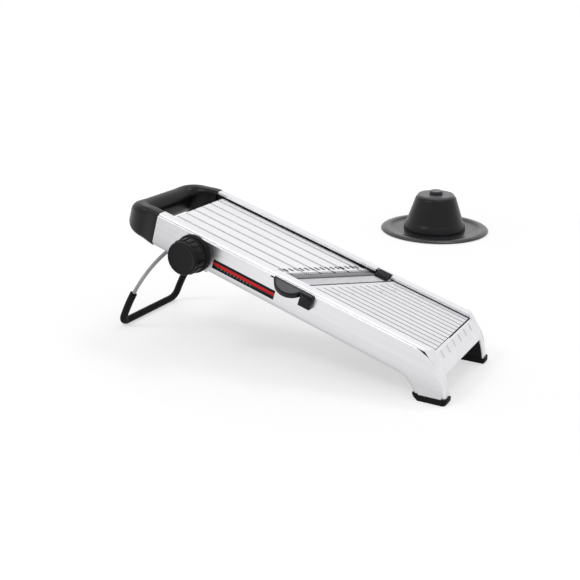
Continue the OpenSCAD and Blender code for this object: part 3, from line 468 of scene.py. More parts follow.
ramp_steel = metal("satin_ramp_steel", (0.86, 0.86, 0.87), (0.77, 0.77, 0.79), 0.36)
platform_steel = metal("satin_platform_steel", (0.80, 0.80, 0.82), (0.71, 0.71, 0.73), 0.36)
side_steel = metal("brushed_side_steel", (0.80, 0.80, 0.81), (0.70, 0.70, 0.72), 0.30, strength=0.3)
rail_metal = metal("satin_rail_metal", (0.84, 0.84, 0.86), (0.76, 0.76, 0.78), 0.34)
panel_metal = metal("pressed_front_metal", (0.80, 0.80, 0.82), (0.72, 0.72, 0.74), 0.36,
                    stretch=(20, 20, 1), scale=60)
comb_steel = metal("comb_steel", (0.60, 0.60, 0.62), (0.50, 0.50, 0.52), 0.25,
                   stretch=(30, 30, 30), scale=30)
blade_steel = metal("ground_blade_steel", (0.86, 0.86, 0.88), (0.62, 0.62, 0.64), 0.22,
                    stretch=(60, 8, 60), scale=50, strength=0.35)
turned_steel = metal("turned_steel", (0.72, 0.72, 0.74), (0.62, 0.62, 0.64), 0.24,
                     stretch=(40, 40, 40), scale=20)
# Painted reflection: near-black and light grey streaks along the wire stand in for what the chrome
# reflects
wire_chrome = metal("chrome_wire_painted_streaks", (0.03, 0.03, 0.04), (0.42, 0.42, 0.44), 0.12,
                    stretch=(8, 60, 3), scale=40, strength=0.15)
PLAIN_BLACK = (0.006, 0.006, 0.007), (0.010, 0.010, 0.012)
frame_black = plastic("moulded_black", *PLAIN_BLACK, 0.5, specular=0.12)
far_frame_black = plastic("moulded_black_far", *PLAIN_BLACK, 0.45, specular=0.12)
grip_black = plastic("soft_grip_black", (0.004, 0.004, 0.005), (0.008, 0.008, 0.010), 0.3,
                     scale=1900, waves=0.2, strength=0.25, specular=0.2)
foot_black = plastic("rubber_black", (0.005, 0.005, 0.006), (0.009, 0.009, 0.010), 0.6, strength=0.4,
                     specular=0.12)
gloss_black = plastic("polished_black", (0.006, 0.006, 0.008), (0.011, 0.011, 0.013), 0.26, specular=0.2)
# Painted light: the thumb dish is a lighter grey than the same black moulding round it
thumb_dish_lit = plastic("thumb_dish_painted_light", (0.075, 0.077, 0.082), (0.13, 0.132, 0.14), 0.3, specular=0.4)
brim_black = plastic("brim_black", (0.012, 0.012, 0.014), (0.024, 0.024, 0.027), 0.24, specular=0.45,
                     coat=0.12)
cone_black = plastic("cone_black", (0.005, 0.005, 0.006), (0.009, 0.009, 0.011), 0.3, specular=0.22)
knob_black = plastic("knob_black", *PLAIN_BLACK, 0.38, specular=0.14)
grey_plastic = plastic("moulded_grey", (0.16, 0.16, 0.17), (0.22, 0.22, 0.23), 0.5)
disc_grey = plastic("disc_grey", (0.085, 0.086, 0.092), (0.12, 0.121, 0.128), 0.34, coat=0.1)
pointer_red = plastic("pointer_red", (0.58, 0.008, 0.012), (0.66, 0.014, 0.016), 0.34)
scale_teal = plastic("scale_teal", (0.014, 0.030, 0.034), (0.024, 0.044, 0.048), 0.42)
mark_grey = plastic("scale_marks", (0.32, 0.38, 0.38), (0.42, 0.48, 0.48), 0.45)


def finish_ramp():
    """Painted shade: flutes, a dotted dark band at the ramp's serrated edge by the blade, and dark
    slits.
    """
    flute_shade(ramp_steel, RAMP_FLUTES, RAMP_TOP)
    tree, shader, (u, y, _) = surface(ramp_steel)
    # Painted shade along the ramp's edge by the blade, broken into dots where the edge is serrated
    along = math_node(tree, "MULTIPLY", y, 2 * math.pi / EDGE_DOT_PITCH)
    edge_shade_dots = fade(tree, math_node(tree, "SINE", along), *EDGE_DOT_WAVE, *EDGE_DOT_LEVELS)
    off_edge = square_to_edge(tree, u, y)
    edge_shade_band = fade(tree, off_edge, -EDGE_DOTS, -EDGE_DOTS + EDGE_DOTS_BLUR, 0.0, 1.0)
    darken(tree, shader, math_node(tree, "MULTIPLY_ADD", edge_shade_band,
                                   math_node(tree, "SUBTRACT", edge_shade_dots, 1.0), 1.0))
    # Painted shade down in the row of comb slits
    count = math_node(tree, "DIVIDE", math_node(tree, "SUBTRACT", y, COMB_SHIFT), COMB_PITCH)
    nearest = off_middle(tree, count, math_node(tree, "ROUND", count))
    across = fade(tree, math_node(tree, "MULTIPLY", nearest, COMB_PITCH), *SLIT_HALF_WIDTH, 1.0, 0.0)
    row = math_node(tree, "ABSOLUTE", from_edge(tree, u, y, COMB_BACK))
    within = fade(tree, row, *SLIT_HALF_LENGTH, 1.0, 0.0)
    darken(tree, shader, math_node(tree, "MULTIPLY_ADD", math_node(tree, "MULTIPLY", across, within),
                                   -SLIT_SHADE, 1.0))


# Grey levels of the blade from its edge to its back, by the distance from the edge in mm; its dark
# lines are painted shade
BLADE_TINT = (1.0, 1.0, 1.03)
BLADE_BEVEL = (0.40, 0.40, 0.42, 1)
BLADE_BACK = (0.10, 0.10, 0.11, 1)
BLADE_SHADE_BANDS = ((2.0, 0.30), (6.8, 0.20), (7.6, 0.07), (9.6, 0.07), (10.4, 0.74), (21.4, 0.84),
               (22.0, 0.12))


def finish_blade():
    """Grey bevel, painted shade in a dark line in the step behind it, a bright flat, and painted shade
    in a fine dark line at the back where the blade meets the platform.
    """
    tree, shader, (u, y, _) = surface(blade_steel)
    bands = tree.nodes.new("ShaderNodeValToRGB")
    stops = bands.color_ramp.elements
    stops[0].position, stops[0].color = 0.0, BLADE_BEVEL
    stops[1].position, stops[1].color = 1.0, BLADE_BACK
    for place, level in BLADE_SHADE_BANDS:
        stops.new(place / BLADE_DEPTH).color = (*(level * tint for tint in BLADE_TINT), 1)
    share = math_node(tree, "DIVIDE", square_to_edge(tree, u, y), BLADE_DEPTH)
    feed(tree, bands, {"Fac": share})
    darken(tree, shader, bands.outputs["Color"])


def shade_near_wall():
    """Painted shade: the near wall is a little darker towards the handle and along its lower edge."""
    tree, shader, (u, _, h) = surface(side_steel)
    rear = fade(tree, u, *WALL_REAR_SHADE, 1.0)
    low = fade(tree, h, *WALL_LOW_SHADE, 1.0)
    darken(tree, shader, math_node(tree, "MULTIPLY", rear, low))


def finish_pointer():
    """Only the middle of the pointer's bar stays red; towards its edges it is darkened nearly to black.
    """
    tree, shader, (_, _, h) = surface(pointer_red)
    darken(tree, shader, fade(tree, off_middle(tree, h, POINTER_H), *POINTER_RED, 1.0, 0.05))


def finish_far_frame():
    """Paints the upper edge of the far frame's inner wall bright and metallic, as the rail's skin folded
    over it.
    """
    tree, shader, (_, _, h) = surface(far_frame_black)
    skin = fade(tree, h, FOLD_H - FOLD_BLUR, FOLD_H + FOLD_BLUR, 0.0, 1.0)
    recolour(tree, shader, skin, (0.78, 0.78, 0.80, 1))
    feed(tree, shader, {"Metallic": skin})


finish_far_frame()
finish_ramp()
# Painted shade along the lower platform's flutes and down in its grooves
flute_shade(platform_steel, RAMP_FLUTES / 2, 0.0, 2.6, 0.93, 0.93)
finish_blade()
shade_near_wall()
finish_pointer()

NODE_LOOK = {
    "near_skin": side_steel, "far_skin": side_steel, "near_side_frame": frame_black,
    "far_side_frame": far_frame_black, "near_rail_cap": rail_metal, "far_rail_cap": rail_metal,
    "front_panel": panel_metal, "front_feet": foot_black, "handle": grip_black,
    "rear_cross_member": frame_black, "lower_platform": platform_steel, "blade_bed": grey_plastic,
    "blade_clamp": gloss_black, "dial_collar": frame_black, "scale_plate": scale_teal,
    "ramp_hinge_pin": turned_steel, "stand_bushes": grey_plastic, "platform_screws": turned_steel,
    "upper_ramp": ramp_steel, "comb_guide_screws": turned_steel, "comb_carrier": frame_black,
    "comb_teeth": comb_steel, "thickness_knob": knob_black, "knob_shaft": turned_steel,
    "lift_cams": grey_plastic, "scale_pinion": grey_plastic, "scale_pointer": pointer_red,
    "main_blade": blade_steel, "blade_tab": gloss_black, "stand_wire": wire_chrome,
    "stand_sleeve": foot_black, "holder_brim": brim_black, "holder_cone": cone_black,
    "holder_top_disc": disc_grey, "holder_spring": turned_steel, "plunger_button": gloss_black,
    "plunger_rod": grey_plastic, "pusher_plate": frame_black, "pusher_prongs": comb_steel,
}
for node, look in NODE_LOOK.items():
    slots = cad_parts[node].data.materials
    slots.clear()
    slots.append(look)

# -------- mesh tools


def add_object(name, data):
    """A new object of the scene, at the origin."""
    item = bpy.data.objects.new(name, data)
    bpy.context.scene.collection.objects.link(item)
    return item


def baked(item):
    """The plain mesh that an object's modifiers make of it; the object itself goes."""
    bpy.context.view_layer.update()
    shape = item.evaluated_get(bpy.context.evaluated_depsgraph_get())
    mesh = bpy.data.meshes.new_from_object(shape)
    bpy.data.objects.remove(item)
    return mesh


def finish_mesh(name, mesh, look, body, replaces, sharp=32):
    """Makes a mesh a piece of the set: its look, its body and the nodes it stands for.

    Edges that turn by more than sharp degrees stay hard."""
    indices = [face.material_index for face in mesh.polygons]
    mesh.materials.clear()
    mesh.materials.append(look)
    for face, index in zip(mesh.polygons, indices):
        face.material_index = index
        face.use_smooth = True
    mesh.set_sharp_from_angle(angle=math.radians(sharp))
    mesh.name = name
    piece = add_object(name, mesh)
    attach(piece, body)
    if replaces:
        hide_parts(*replaces)
    return piece


def mesh_from(verts, faces, place=None):
    """A mesh with its doubles merged and its faces turned outwards, moved to its place."""
    mesh = bpy.data.meshes.new("shape")
    mesh.from_pydata([tuple(v) for v in verts], [], faces)
    work = bmesh.new()
    work.from_mesh(mesh)
    bmesh.ops.remove_doubles(work, verts=work.verts, dist=1e-5)
    bmesh.ops.recalc_face_normals(work, faces=work.faces)
    work.to_mesh(mesh)
    work.free()
    if place is not None:
        mesh.transform(place)
    return mesh


def loft(rings, place=None):
    """Skin through rings of the same number of points, with flat ends."""
    count = len(rings[0])
    verts = [point for ring in rings for point in ring]
    faces = []
    for ring in range(len(rings) - 1):
        a, b = ring * count, (ring + 1) * count
        for i in range(count):
            j = (i + 1) % count
            faces.append((a + i, a + j, b + j, b + i))
    faces.append(tuple(range(count))[::-1])
    faces.append(tuple(range(len(verts) - count, len(verts))))
    return mesh_from(verts, faces, place)


def lathe(profile, place, segments=96):
    """Profile of (radius, height) turned about Z; a radius of 0 becomes one pole point."""
    verts, faces, rows = [], [], []
    for radius, height in profile:
        if radius < 1e-6:
            rows.append([len(verts)])
            verts.append((0, 0, height))
            continue
        rows.append(list(range(len(verts), len(verts) + segments)))
        for i in range(segments):
            a = 2 * math.pi * i / segments
            verts.append((radius * math.cos(a), radius * math.sin(a), height))
    pairs = list(zip(rows, rows[1:]))
    if profile[0][0] > 1e-6 and profile[-1][0] > 1e-6:
        pairs.append((rows[-1], rows[0]))
    for low, high in pairs:
        for i in range(segments):
            j = (i + 1) % segments
            if len(low) == 1:
                faces.append((low[0], high[j], high[i]))
            elif len(high) == 1:
                faces.append((low[i], low[j], high[0]))
            else:
                faces.append((low[i], low[j], high[j], high[i]))
    return mesh_from(verts, faces, place)


def round_corner(x, z, radius, start, steps=6):
    """Points of a quarter arc about (x, z), from the given angle anticlockwise, in degrees."""
    return [(x + radius * math.cos(math.radians(start + 90 * k / steps)),
             z + radius * math.sin(math.radians(start + 90 * k / steps))) for k in range(steps + 1)]


def rounded_box_ring(width, height, radius, steps=8):
    """Closed outline of a rounded rectangle about the origin."""
    w, h = width / 2 - radius, height / 2 - radius
    ring = []
    for x, z, start in ((w, h, 0), (-w, h, 90), (-w, -h, 180), (w, -h, 270)):
        ring += round_corner(x, z, radius, start, steps)
    return ring

# -------- geometry node trees


def new_geometry(name, *inputs):
    """An empty geometry tree that takes a shape and the given values, and gives a shape."""
    return new_tree("GeometryNodeTree", name,
                    [("Geometry", "Geometry"), *inputs, ("Material", "Material")],
                    [("Geometry", "Geometry")])


def close_tree(tree, geometry, into, out):
    """Ends a tree: copies are made real and take the material."""
    real = add_node(tree, "GeometryNodeRealizeInstances", {"Geometry": geometry})
    painted = add_node(tree, "GeometryNodeSetMaterial", {"Geometry": real.outputs["Geometry"],
                                                         "Material": into.outputs["Material"]})
    feed(tree, out, {"Geometry": painted.outputs["Geometry"]})
    return tree


def stamp_on(tree, line, block, **inputs):
    """A copy of a block at each point of a line."""
    return add_node(tree, "GeometryNodeInstanceOnPoints",
                    {"Points": line.outputs["Mesh"], "Instance": block, **inputs}).outputs["Instances"]


def make_tube_tree():
    """Round rod along the edges of a path mesh, with closed ends."""
    tree, into, out = new_geometry("rod_along_path", ("Radius", "Float", 0.002), ("Sides", "Int", 24))
    path = add_node(tree, "GeometryNodeMeshToCurve", {"Mesh": into.outputs["Geometry"]})
    ring = add_node(tree, "GeometryNodeCurvePrimitiveCircle",
                    {"Resolution": into.outputs["Sides"], "Radius": into.outputs["Radius"]})
    tube = add_node(tree, "GeometryNodeCurveToMesh",
                    {"Curve": path.outputs["Curve"], "Profile Curve": ring.outputs["Curve"],
                     "Fill Caps": True})
    return close_tree(tree, tube.outputs["Mesh"], into, out)


def make_row_tree():
    """The same block again and again along a straight row."""
    tree, into, out = new_geometry("row_of_blocks", ("Count", "Int", 10),
                                   ("Step", "Vector", (1, 0, 0)), ("Block", "Vector", (1, 1, 1)))
    line = add_node(tree, "GeometryNodeMeshLine", {"Count": into.outputs["Count"],
                                                   "Offset": into.outputs["Step"]})
    block = add_node(tree, "GeometryNodeMeshCube", {"Size": into.outputs["Block"]})
    return close_tree(tree, stamp_on(tree, line, block.outputs["Mesh"]), into, out)


def make_ring_tree():
    """The object's own mesh again and again round Z."""
    tree, into, out = new_geometry("ring_of_copies", ("Count", "Int", 16))
    count = into.outputs["Count"]
    line = add_node(tree, "GeometryNodeMeshLine", {"Count": count, "Offset": (0, 0, 0)})
    index = tree.nodes.new("GeometryNodeInputIndex")
    share = math_node(tree, "DIVIDE", index.outputs[0], count)
    turn = add_node(tree, "ShaderNodeCombineXYZ", {"Z": math_node(tree, "MULTIPLY", share, 2 * math.pi)})
    stamped = stamp_on(tree, line, into.outputs["Geometry"], Rotation=turn.outputs["Vector"])
    return close_tree(tree, stamped, into, out)


TUBE = make_tube_tree()
ROW = make_row_tree()
RING = make_ring_tree()


def grow(base, tree, look, place=None, **values):
    """Runs a geometry node tree on a mesh and returns the plain mesh that it makes."""
    grown = add_object("grown", base)
    modifier = grown.modifiers.new("grow", "NODES")
    modifier.node_group = tree
    values["Material"] = look
    for item in tree.interface.items_tree:
        if item.in_out == "INPUT" and item.name in values:
            modifier[item.identifier] = values[item.name]
    mesh = baked(grown)
    if place is not None:
        mesh.transform(place)
    return mesh


def path_mesh(points):
    """A mesh of edges alone, through the points."""
    mesh = bpy.data.meshes.new("path")
    mesh.from_pydata([tuple(p) for p in points], [(i, i + 1) for i in range(len(points) - 1)], [])
    return mesh

# -------- handle


def make_handle():
    """Loop handle: wall-deep arms at the rails that thin through the corners into a rounded bar."""
    bend_s = RAIL_LEN + HANDLE_LEN - CORNER_R
    bend_y = GRIP_OUTER - CORNER_R
    mid_r = CORNER_R - GRIP_THICK / 2
    straight = bend_s - RAIL_LEN
    eased_over = WAIST * (straight + mid_r * math.pi / 2)
    wall_width = RAIL_OUTER - RAIL_INNER + ARM_LAP
    wall_y = RAIL_OUTER - wall_width / 2

    def shape(run):
        """Width, height, corner radius and middle height at a distance along the arm."""
        t = min(1.0, run / eased_over)
        ease = smooth(t)
        top = RAIL_UP + (GRIP_TOP - RAIL_UP) * ease
        low = SIDE_LOW + (GRIP_TOP - GRIP_HEIGHT - SIDE_LOW) * t ** UNDER_EASE
        return (wall_width + (GRIP_THICK - wall_width) * ease, top - low,
                ARM_ROUND + (GRIP_ROUND - ARM_ROUND) * ease, (top + low) / 2)

    arm_steps, bend_steps, bar_steps = 12, 18, 4
    stations = []
    for k in range(arm_steps + 1):
        t = k / arm_steps
        stations.append((RAIL_LEN + 0.05 + straight * t,
                         wall_y + (bend_y + mid_r - wall_y) * smooth(t), 0.0, shape(straight * t)))
    for k in range(1, bend_steps + 1):
        a = math.radians(90 * k / bend_steps)
        stations.append((bend_s + mid_r * math.sin(a), bend_y + mid_r * math.cos(a), a,
                         shape(straight + mid_r * a)))
    for k in range(1, bar_steps + 1):
        stations.append((bend_s + mid_r, bend_y * (1 - k / bar_steps), math.pi / 2, shape(math.inf)))
    rings = []
    for s, y, a, (width, height, radius, middle) in stations:
        rings.append([(-(s + x * math.sin(a)), y + x * math.cos(a), middle + z)
                      for x, z in rounded_box_ring(width, height, radius)])
    rings += [[(u, -y, h) for u, y, h in ring] for ring in rings[-2::-1]]
    mesh = loft(rings, deck_matrix(0, 0, 0))
    finish_mesh("handle_loop", mesh, grip_black, "slicer", ["handle"], 50)


make_handle()

# -------- knob


def knob_place(z):
    """Placing for a piece turned about the knob's axle, with its Z out to the near side."""
    return deck_matrix(-KNOB_S, -z, KNOB_H, KNOB_TURN)


def make_knob():
    """Flanged knob with a shallow dished face, and a ring of raised grip pads round it."""
    body_r = KNOB_R - KNOB_FLANGE
    profile = [(0, 0), (KNOB_R - 0.5, 0), (KNOB_R, 0.5), (KNOB_R, 1.4), (KNOB_R - 0.4, 1.8),
               (body_r, 2.2)]
    profile += round_corner(body_r - KNOB_EDGE_R, KNOB_LEN - KNOB_EDGE_R, KNOB_EDGE_R, 0)
    profile += [(body_r - 2.6, KNOB_LEN - 0.1), (body_r - 3.2, KNOB_LEN - 0.55),
                (body_r - 5, KNOB_LEN - 0.8), (0, KNOB_LEN - 0.6)]
    core = lathe(profile, knob_place(KNOB_Y0))
    finish_mesh("knob_core", core, knob_black, "knob", ["thickness_knob"])
    step = math.radians(PAD_SHARE * 360 / PAD_COUNT)
    rings = []
    for z, out in ((2.6, 0.1), (2.9, 0.75), (3.5, 1.0), (KNOB_LEN - 5.4, 1.0),
                   (KNOB_LEN - 4.6, 0.75), (KNOB_LEN - 4.2, 0.1)):
        over, under = [], []
        for k in range(5):
            a = step * (k - 2) / 4
            edge = 0.25 if k in (0, 4) else 0.0
            for side, r in ((over, body_r + out * 1.15 - edge), (under, body_r - PAD_SINK)):
                side.append((r * math.cos(a), r * math.sin(a), z))
        rings.append(over + under[::-1])
    pads = grow(loft(rings), RING, knob_black, knob_place(KNOB_Y0), Count=PAD_COUNT)
    finish_mesh("knob_pads", pads, knob_black, "knob", (), 40)


make_knob()

# -------- stand


def stand_path(side, sweep=None):
    """One half of the stand's bow, lower bend and foot bar, in mm of the slicer's own axes.

    The bow is whole, up to the pivot, unless sweep gives its last part in degrees."""
    foot = math.radians(180 + STAND_LEAN)
    down = Vector((math.cos(foot), 0, math.sin(foot)))
    across = Vector((-math.sin(foot), 0, math.cos(foot)))
    bow_end = Vector((FOOT_X, 0, FOOT_Z)) - STAND_BEND_R * down
    pivot = Vector((-PIVOT_S * math.cos(SLOPE) - PIVOT_H * math.sin(SLOPE), 0,
                    DECK_FRONT_Z + PIVOT_S * math.sin(SLOPE) - PIVOT_H * math.cos(SLOPE)))
    chord = pivot - bow_end
    bow_r = chord.length_squared / (2 * chord.dot(across))
    turn = 2 * math.asin(chord.length / (2 * bow_r)) if sweep is None else math.radians(sweep)
    centre = bow_end + bow_r * across
    last = foot - math.pi / 2
    bow_steps, bend_steps = 30, 12
    points = []
    for k in range(bow_steps + 1):
        a = last - turn * (1 - k / bow_steps)
        points.append(centre + bow_r * Vector((math.cos(a), 0, math.sin(a)))
                      + Vector((0, side * STAND_Y, 0)))
    for k in range(1, bend_steps + 1):
        a = math.radians(90 * k / bend_steps)
        points.append(bow_end + STAND_BEND_R * math.sin(a) * down
                      + Vector((0, side * (STAND_Y - STAND_BEND_R * (1 - math.cos(a))), 0)))
    return points


def make_rod(name, points, radius, look, replaces):
    """A round rod of the stand through points of the slicer's own axes."""
    rod = grow(path_mesh([to_set(p) for p in points]), TUBE, look, Radius=radius / 1000,
               Sides=ROD_SIDES)
    finish_mesh(name, rod, look, "stand", replaces)


def make_stand():
    """Bent wire with a pin out to each side at its pivot, and the rubber sleeve on its foot bar."""
    wire = stand_path(-1) + stand_path(1)[::-1]
    make_rod("stand_rod", wire, WIRE_R, wire_chrome, ["stand_wire"])
    for side, name in ((-1, "near"), (1, "far")):
        pivot = stand_path(side)[0]
        pin = [pivot + Vector((0, side * y, 0)) for y in PIN_RINGS]
        make_rod("stand_pin_" + name, pin, PIN_R, wire_chrome, ())
    cover = stand_path(-1, SLEEVE_SWEEP) + stand_path(1, SLEEVE_SWEEP)[::-1]
    make_rod("stand_cover", cover, SLEEVE_R, foot_black, ["stand_sleeve"])


make_stand()

# -------- food holder


def holder_place(z=0.0):
    """Placing for a piece turned about the holder's axis."""
    return Matrix.Translation(to_set(HOLDER + Vector((0, 0, z)))) @ Matrix.Scale(0.001, 4)


def cone_at(z):
    """Outer radius of the cone at a height."""
    return CONE_R + (CONE_TOP_R - CONE_R) * (z - CONE_FOOT_Z) / (CONE_Z - CONE_FOOT_Z)


def make_brim():
    """Wide thin flange with a rounded rim, a raised band and a flat up to the cone's foot."""
    inner = CONE_R + BRIM_IN
    profile = [(inner, 0), (BRIM_R - 2, 0), (BRIM_R - 0.8, 0.5), (BRIM_R, 1.5), (BRIM_R, 2.2),
               (BRIM_R - 0.8, 3.3), (BRIM_R - 4, 4.7), (BRIM_R - 8, 5), (BRIM_R - 11.5, 4.9),
               (BRIM_R - 13.5, 4.3), (BRIM_R - 15, 3.0), (BRIM_R - 17, 2.2), (BRIM_R - 24, 1.9),
               (inner + 2, 2.0), (inner, 2.0)]
    finish_mesh("holder_flange", lathe(profile, holder_place(), 160), brim_black, "holder",
                ["holder_brim"])


def make_cone():
    """Hollow cone with a flared foot on the flange and a flat top round the rod's hole."""
    inner = CONE_R + BRIM_IN
    profile = [(CONE_R - HOLDER_WALL, 0.4), (inner - 0.05, 0.4), (inner - 0.05, 2.05),
               (inner + 1.2, 2.05), (inner + 1.3, 3.0), (inner + 0.9, 6), (CONE_R + 2.2, 12.5),
               (CONE_R + 1.2, 14.2), (CONE_R + 0.2, 14.9), (CONE_R, 15.3)]
    profile += [(cone_at(z), z) for z in (20, 28, 36, 44, CONE_Z - 4, CONE_Z - 3)]
    profile += [(CONE_TOP_R + 0.4, CONE_Z - 1.7), (CONE_TOP_R - 0.6, CONE_Z - 0.6),
                (CONE_TOP_R - 1.8, CONE_Z - 0.05), (CONE_TOP_R - 3, CONE_Z), (ROD_HOLE_R, CONE_Z)]
    profile += [(ROD_HOLE_R, CONE_Z - HOLDER_WALL), (CONE_TOP_R - 5, CONE_Z - HOLDER_WALL),
                (cone_at(CONE_Z - 6) - HOLDER_WALL, CONE_Z - 6),
                (CONE_R - HOLDER_WALL, CONE_FOOT_Z)]
    finish_mesh("holder_hat", lathe(profile, holder_place(), 128), cone_black, "holder",
                ["holder_cone"])


def make_button():
    """Low round button with a dished top on the plunger."""
    low = CONE_Z + DISC_T + BUTTON_GAP
    profile = [(0, 0), (BUTTON_R - 0.6, 0), (BUTTON_R, 0.6)]
    profile += round_corner(BUTTON_R - BUTTON_EDGE_R, BUTTON_H - BUTTON_EDGE_R, BUTTON_EDGE_R, 0)
    profile += [(BUTTON_R - 3.2, BUTTON_H - 0.15), (BUTTON_R - 5, BUTTON_H - 0.5), (0, BUTTON_H - 0.7)]
    finish_mesh("plunger_cap", lathe(profile, holder_place(low)), brim_black, "plunger",
                ["plunger_button"])


def make_spring():
    """Coil round the plunger, at one fixed length; it does not shorten as the plunger comes up."""
    points = []
    for k in range(SPRING_TURNS * SPRING_STEPS + 1):
        a = 2 * math.pi * k / SPRING_STEPS
        rise = (k / SPRING_STEPS - SPRING_END_TURN) / (SPRING_TURNS - 2 * SPRING_END_TURN)
        z = SPRING_LOW + (SPRING_HIGH - SPRING_LOW) * min(max(rise, 0.0), 1.0)
        points.append(to_set(HOLDER + Vector((SPRING_R * math.cos(a), SPRING_R * math.sin(a), z))))
    coil = grow(path_mesh(points), TUBE, turned_steel, Radius=SPRING_WIRE_R / 1000, Sides=12)
    piece = finish_mesh("holder_coil", coil, turned_steel, "holder", ["holder_spring"])
    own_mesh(piece)


make_brim()
make_cone()
make_button()
make_spring()

# -------- scale


def make_scale():
    """Row of short graduations on the dark plate behind the side window."""
    last_u = -TICK_S0 - TICK_PITCH * (TICK_COUNT - 1)
    ticks = grow(bpy.data.meshes.new("empty"), ROW, mark_grey,
                 deck_matrix(last_u, SCALE_Y - TICK_OUT, TICK_H),
                 Count=TICK_COUNT, Step=(TICK_PITCH, 0, 0), Block=TICK_BLOCK)
    finish_mesh("scale_ticks", ticks, mark_grey, "slicer", ())


make_scale()

# -------- blade


def make_blade():
    """Flat blade with a ground bevel, a fine step behind it and its near rear corner cut off."""
    section = [(0.12, -0.97), (4.0, -0.56), (8.5, -0.13), (8.75, -0.3), (9.3, -0.3), (9.5, 0.0),
               (16.0, 0.0), (22.95, 0.0), (23.2, -0.18), (23.2, -0.85), (23.05, -1.0), (12.0, -1.0),
               (0.3, -1.0)]
    uncut = -math.inf
    rings = []
    for y, heel_u in ((BLADE_NEAR_Y, -BLADE_HEEL_S), (BLADE_HEEL_Y - 0.02, -BLADE_HEEL_S),
                      (BLADE_HEEL_Y + 0.02, uncut), (-30, uncut), (10, uncut), (BLADE_FAR_Y, uncut)):
        edge_u = -EDGE_S + y * math.tan(BLADE_TURN)
        rings.append([(max(heel_u, edge_u + p / math.cos(BLADE_TURN)), y, h) for p, h in section])
    mesh = loft(rings, deck_matrix(0, 0, 0))
    finish_mesh("slicing_blade", mesh, blade_steel, "blade", ["main_blade"], 12)


make_blade()

# -------- finger tab


def prism(work, outline, low, high):
    """Adds a closed prism to a bmesh and gives back its upper face."""
    under = [work.verts.new((*point, low)) for point in outline]
    over = [work.verts.new((*point, high)) for point in outline]
    work.faces.new(under[::-1])
    lid = work.faces.new(over)
    for i in range(len(outline)):
        j = (i + 1) % len(outline)
        work.faces.new((under[i], under[j], over[j], over[i]))
    return lid


def round_rims(work, rims, radius):
    """Rounds some edges of a bmesh."""
    bmesh.ops.bevel(work, geom=rims, offset=radius, segments=3, profile=0.5, affect="EDGES")


def close_mesh(work):
    """The finished mesh of a bmesh drawn in mm on the slope, with its faces turned outwards."""
    bmesh.ops.recalc_face_normals(work, faces=work.faces)
    mesh = bpy.data.meshes.new("moulding")
    work.to_mesh(mesh)
    work.free()
    mesh.transform(deck_matrix(0, 0, 0))
    return mesh


def make_tab(back_y):
    """Tilted D plate with a raised rim round a thumb dish, cut off level with the wall."""
    outline = [(TAB_S0 + TAB_INSET, TAB_ROOT), (TAB_S1 - TAB_INSET, TAB_ROOT)]
    start, end = TAB_ARC
    for k in range(25):
        a = math.radians(start + (end - start) * k / 24)
        outline.append((TAB_MID_S + TAB_R * math.cos(a), TAB_R * math.sin(a) - TAB_MID_IN))
    outline.append((TAB_S0 + TAB_INSET, TAB_FRONT))
    work = bmesh.new()
    lid = prism(work, outline, -TAB_T, 0)
    bmesh.ops.recalc_face_normals(work, faces=work.faces)
    bmesh.ops.inset_region(work, faces=[lid], thickness=TAB_RIM, use_even_offset=True)
    walls = bmesh.ops.inset_region(work, faces=[lid], thickness=TAB_DISH_WALL, depth=-TAB_DISH,
                                   use_even_offset=True)["faces"]
    for face in walls + [lid]:
        face.material_index = 1
    brink = [edge for edge in work.edges
             if all(vert.co.z > -0.05 for vert in edge.verts)
             and any(face.normal.z < 0.2 for face in edge.link_faces)
             and not any(face.material_index for face in edge.link_faces)]
    round_rims(work, brink, 0.6)
    place = (Matrix.Translation((0, back_y, TAB_H)) @ Matrix.Rotation(math.radians(180), 4, "Z")
             @ Matrix.Rotation(math.radians(-TAB_TILT), 4, "X"))
    bmesh.ops.transform(work, matrix=place, verts=work.verts)
    bmesh.ops.bisect_plane(work, geom=work.verts[:] + work.edges[:] + work.faces[:],
                           plane_co=(0, back_y, 0), plane_no=(0, 1, 0), clear_outer=True)
    bmesh.ops.holes_fill(work, edges=[edge for edge in work.edges if edge.is_boundary], sides=0)
    piece = finish_mesh("finger_tab", close_mesh(work), gloss_black, "blade", ["blade_tab"],
                        35)
    piece.data.materials.append(thumb_dish_lit)


def make_tab_block(back_y):
    """Lock block at the front of the finger tab, with a sloping top."""
    front_y = back_y - TAB_BLOCK_OUT
    section = [(back_y, 0.8), (front_y, -4.5), (front_y, TAB_BLOCK_LOW), (back_y, TAB_BLOCK_LOW)]
    work = bmesh.new()
    prism(work, section, TAB_S0, TAB_BLOCK_S1)
    bmesh.ops.recalc_face_normals(work, faces=work.faces)
    rims = [edge for edge in work.edges if any(vert.co.x < back_y - 1 for vert in edge.verts)]
    round_rims(work, rims, 0.7)
    for vert in work.verts:
        y, h, s = vert.co
        vert.co = (-s, y, h)
    finish_mesh("tab_lock_block", close_mesh(work), gloss_black, "blade", (), 35)


make_tab(-RAIL_OUTER - TAB_GAP)
make_tab_block(-RAIL_OUTER - TAB_GAP)

# -------- blade lock on the far rail


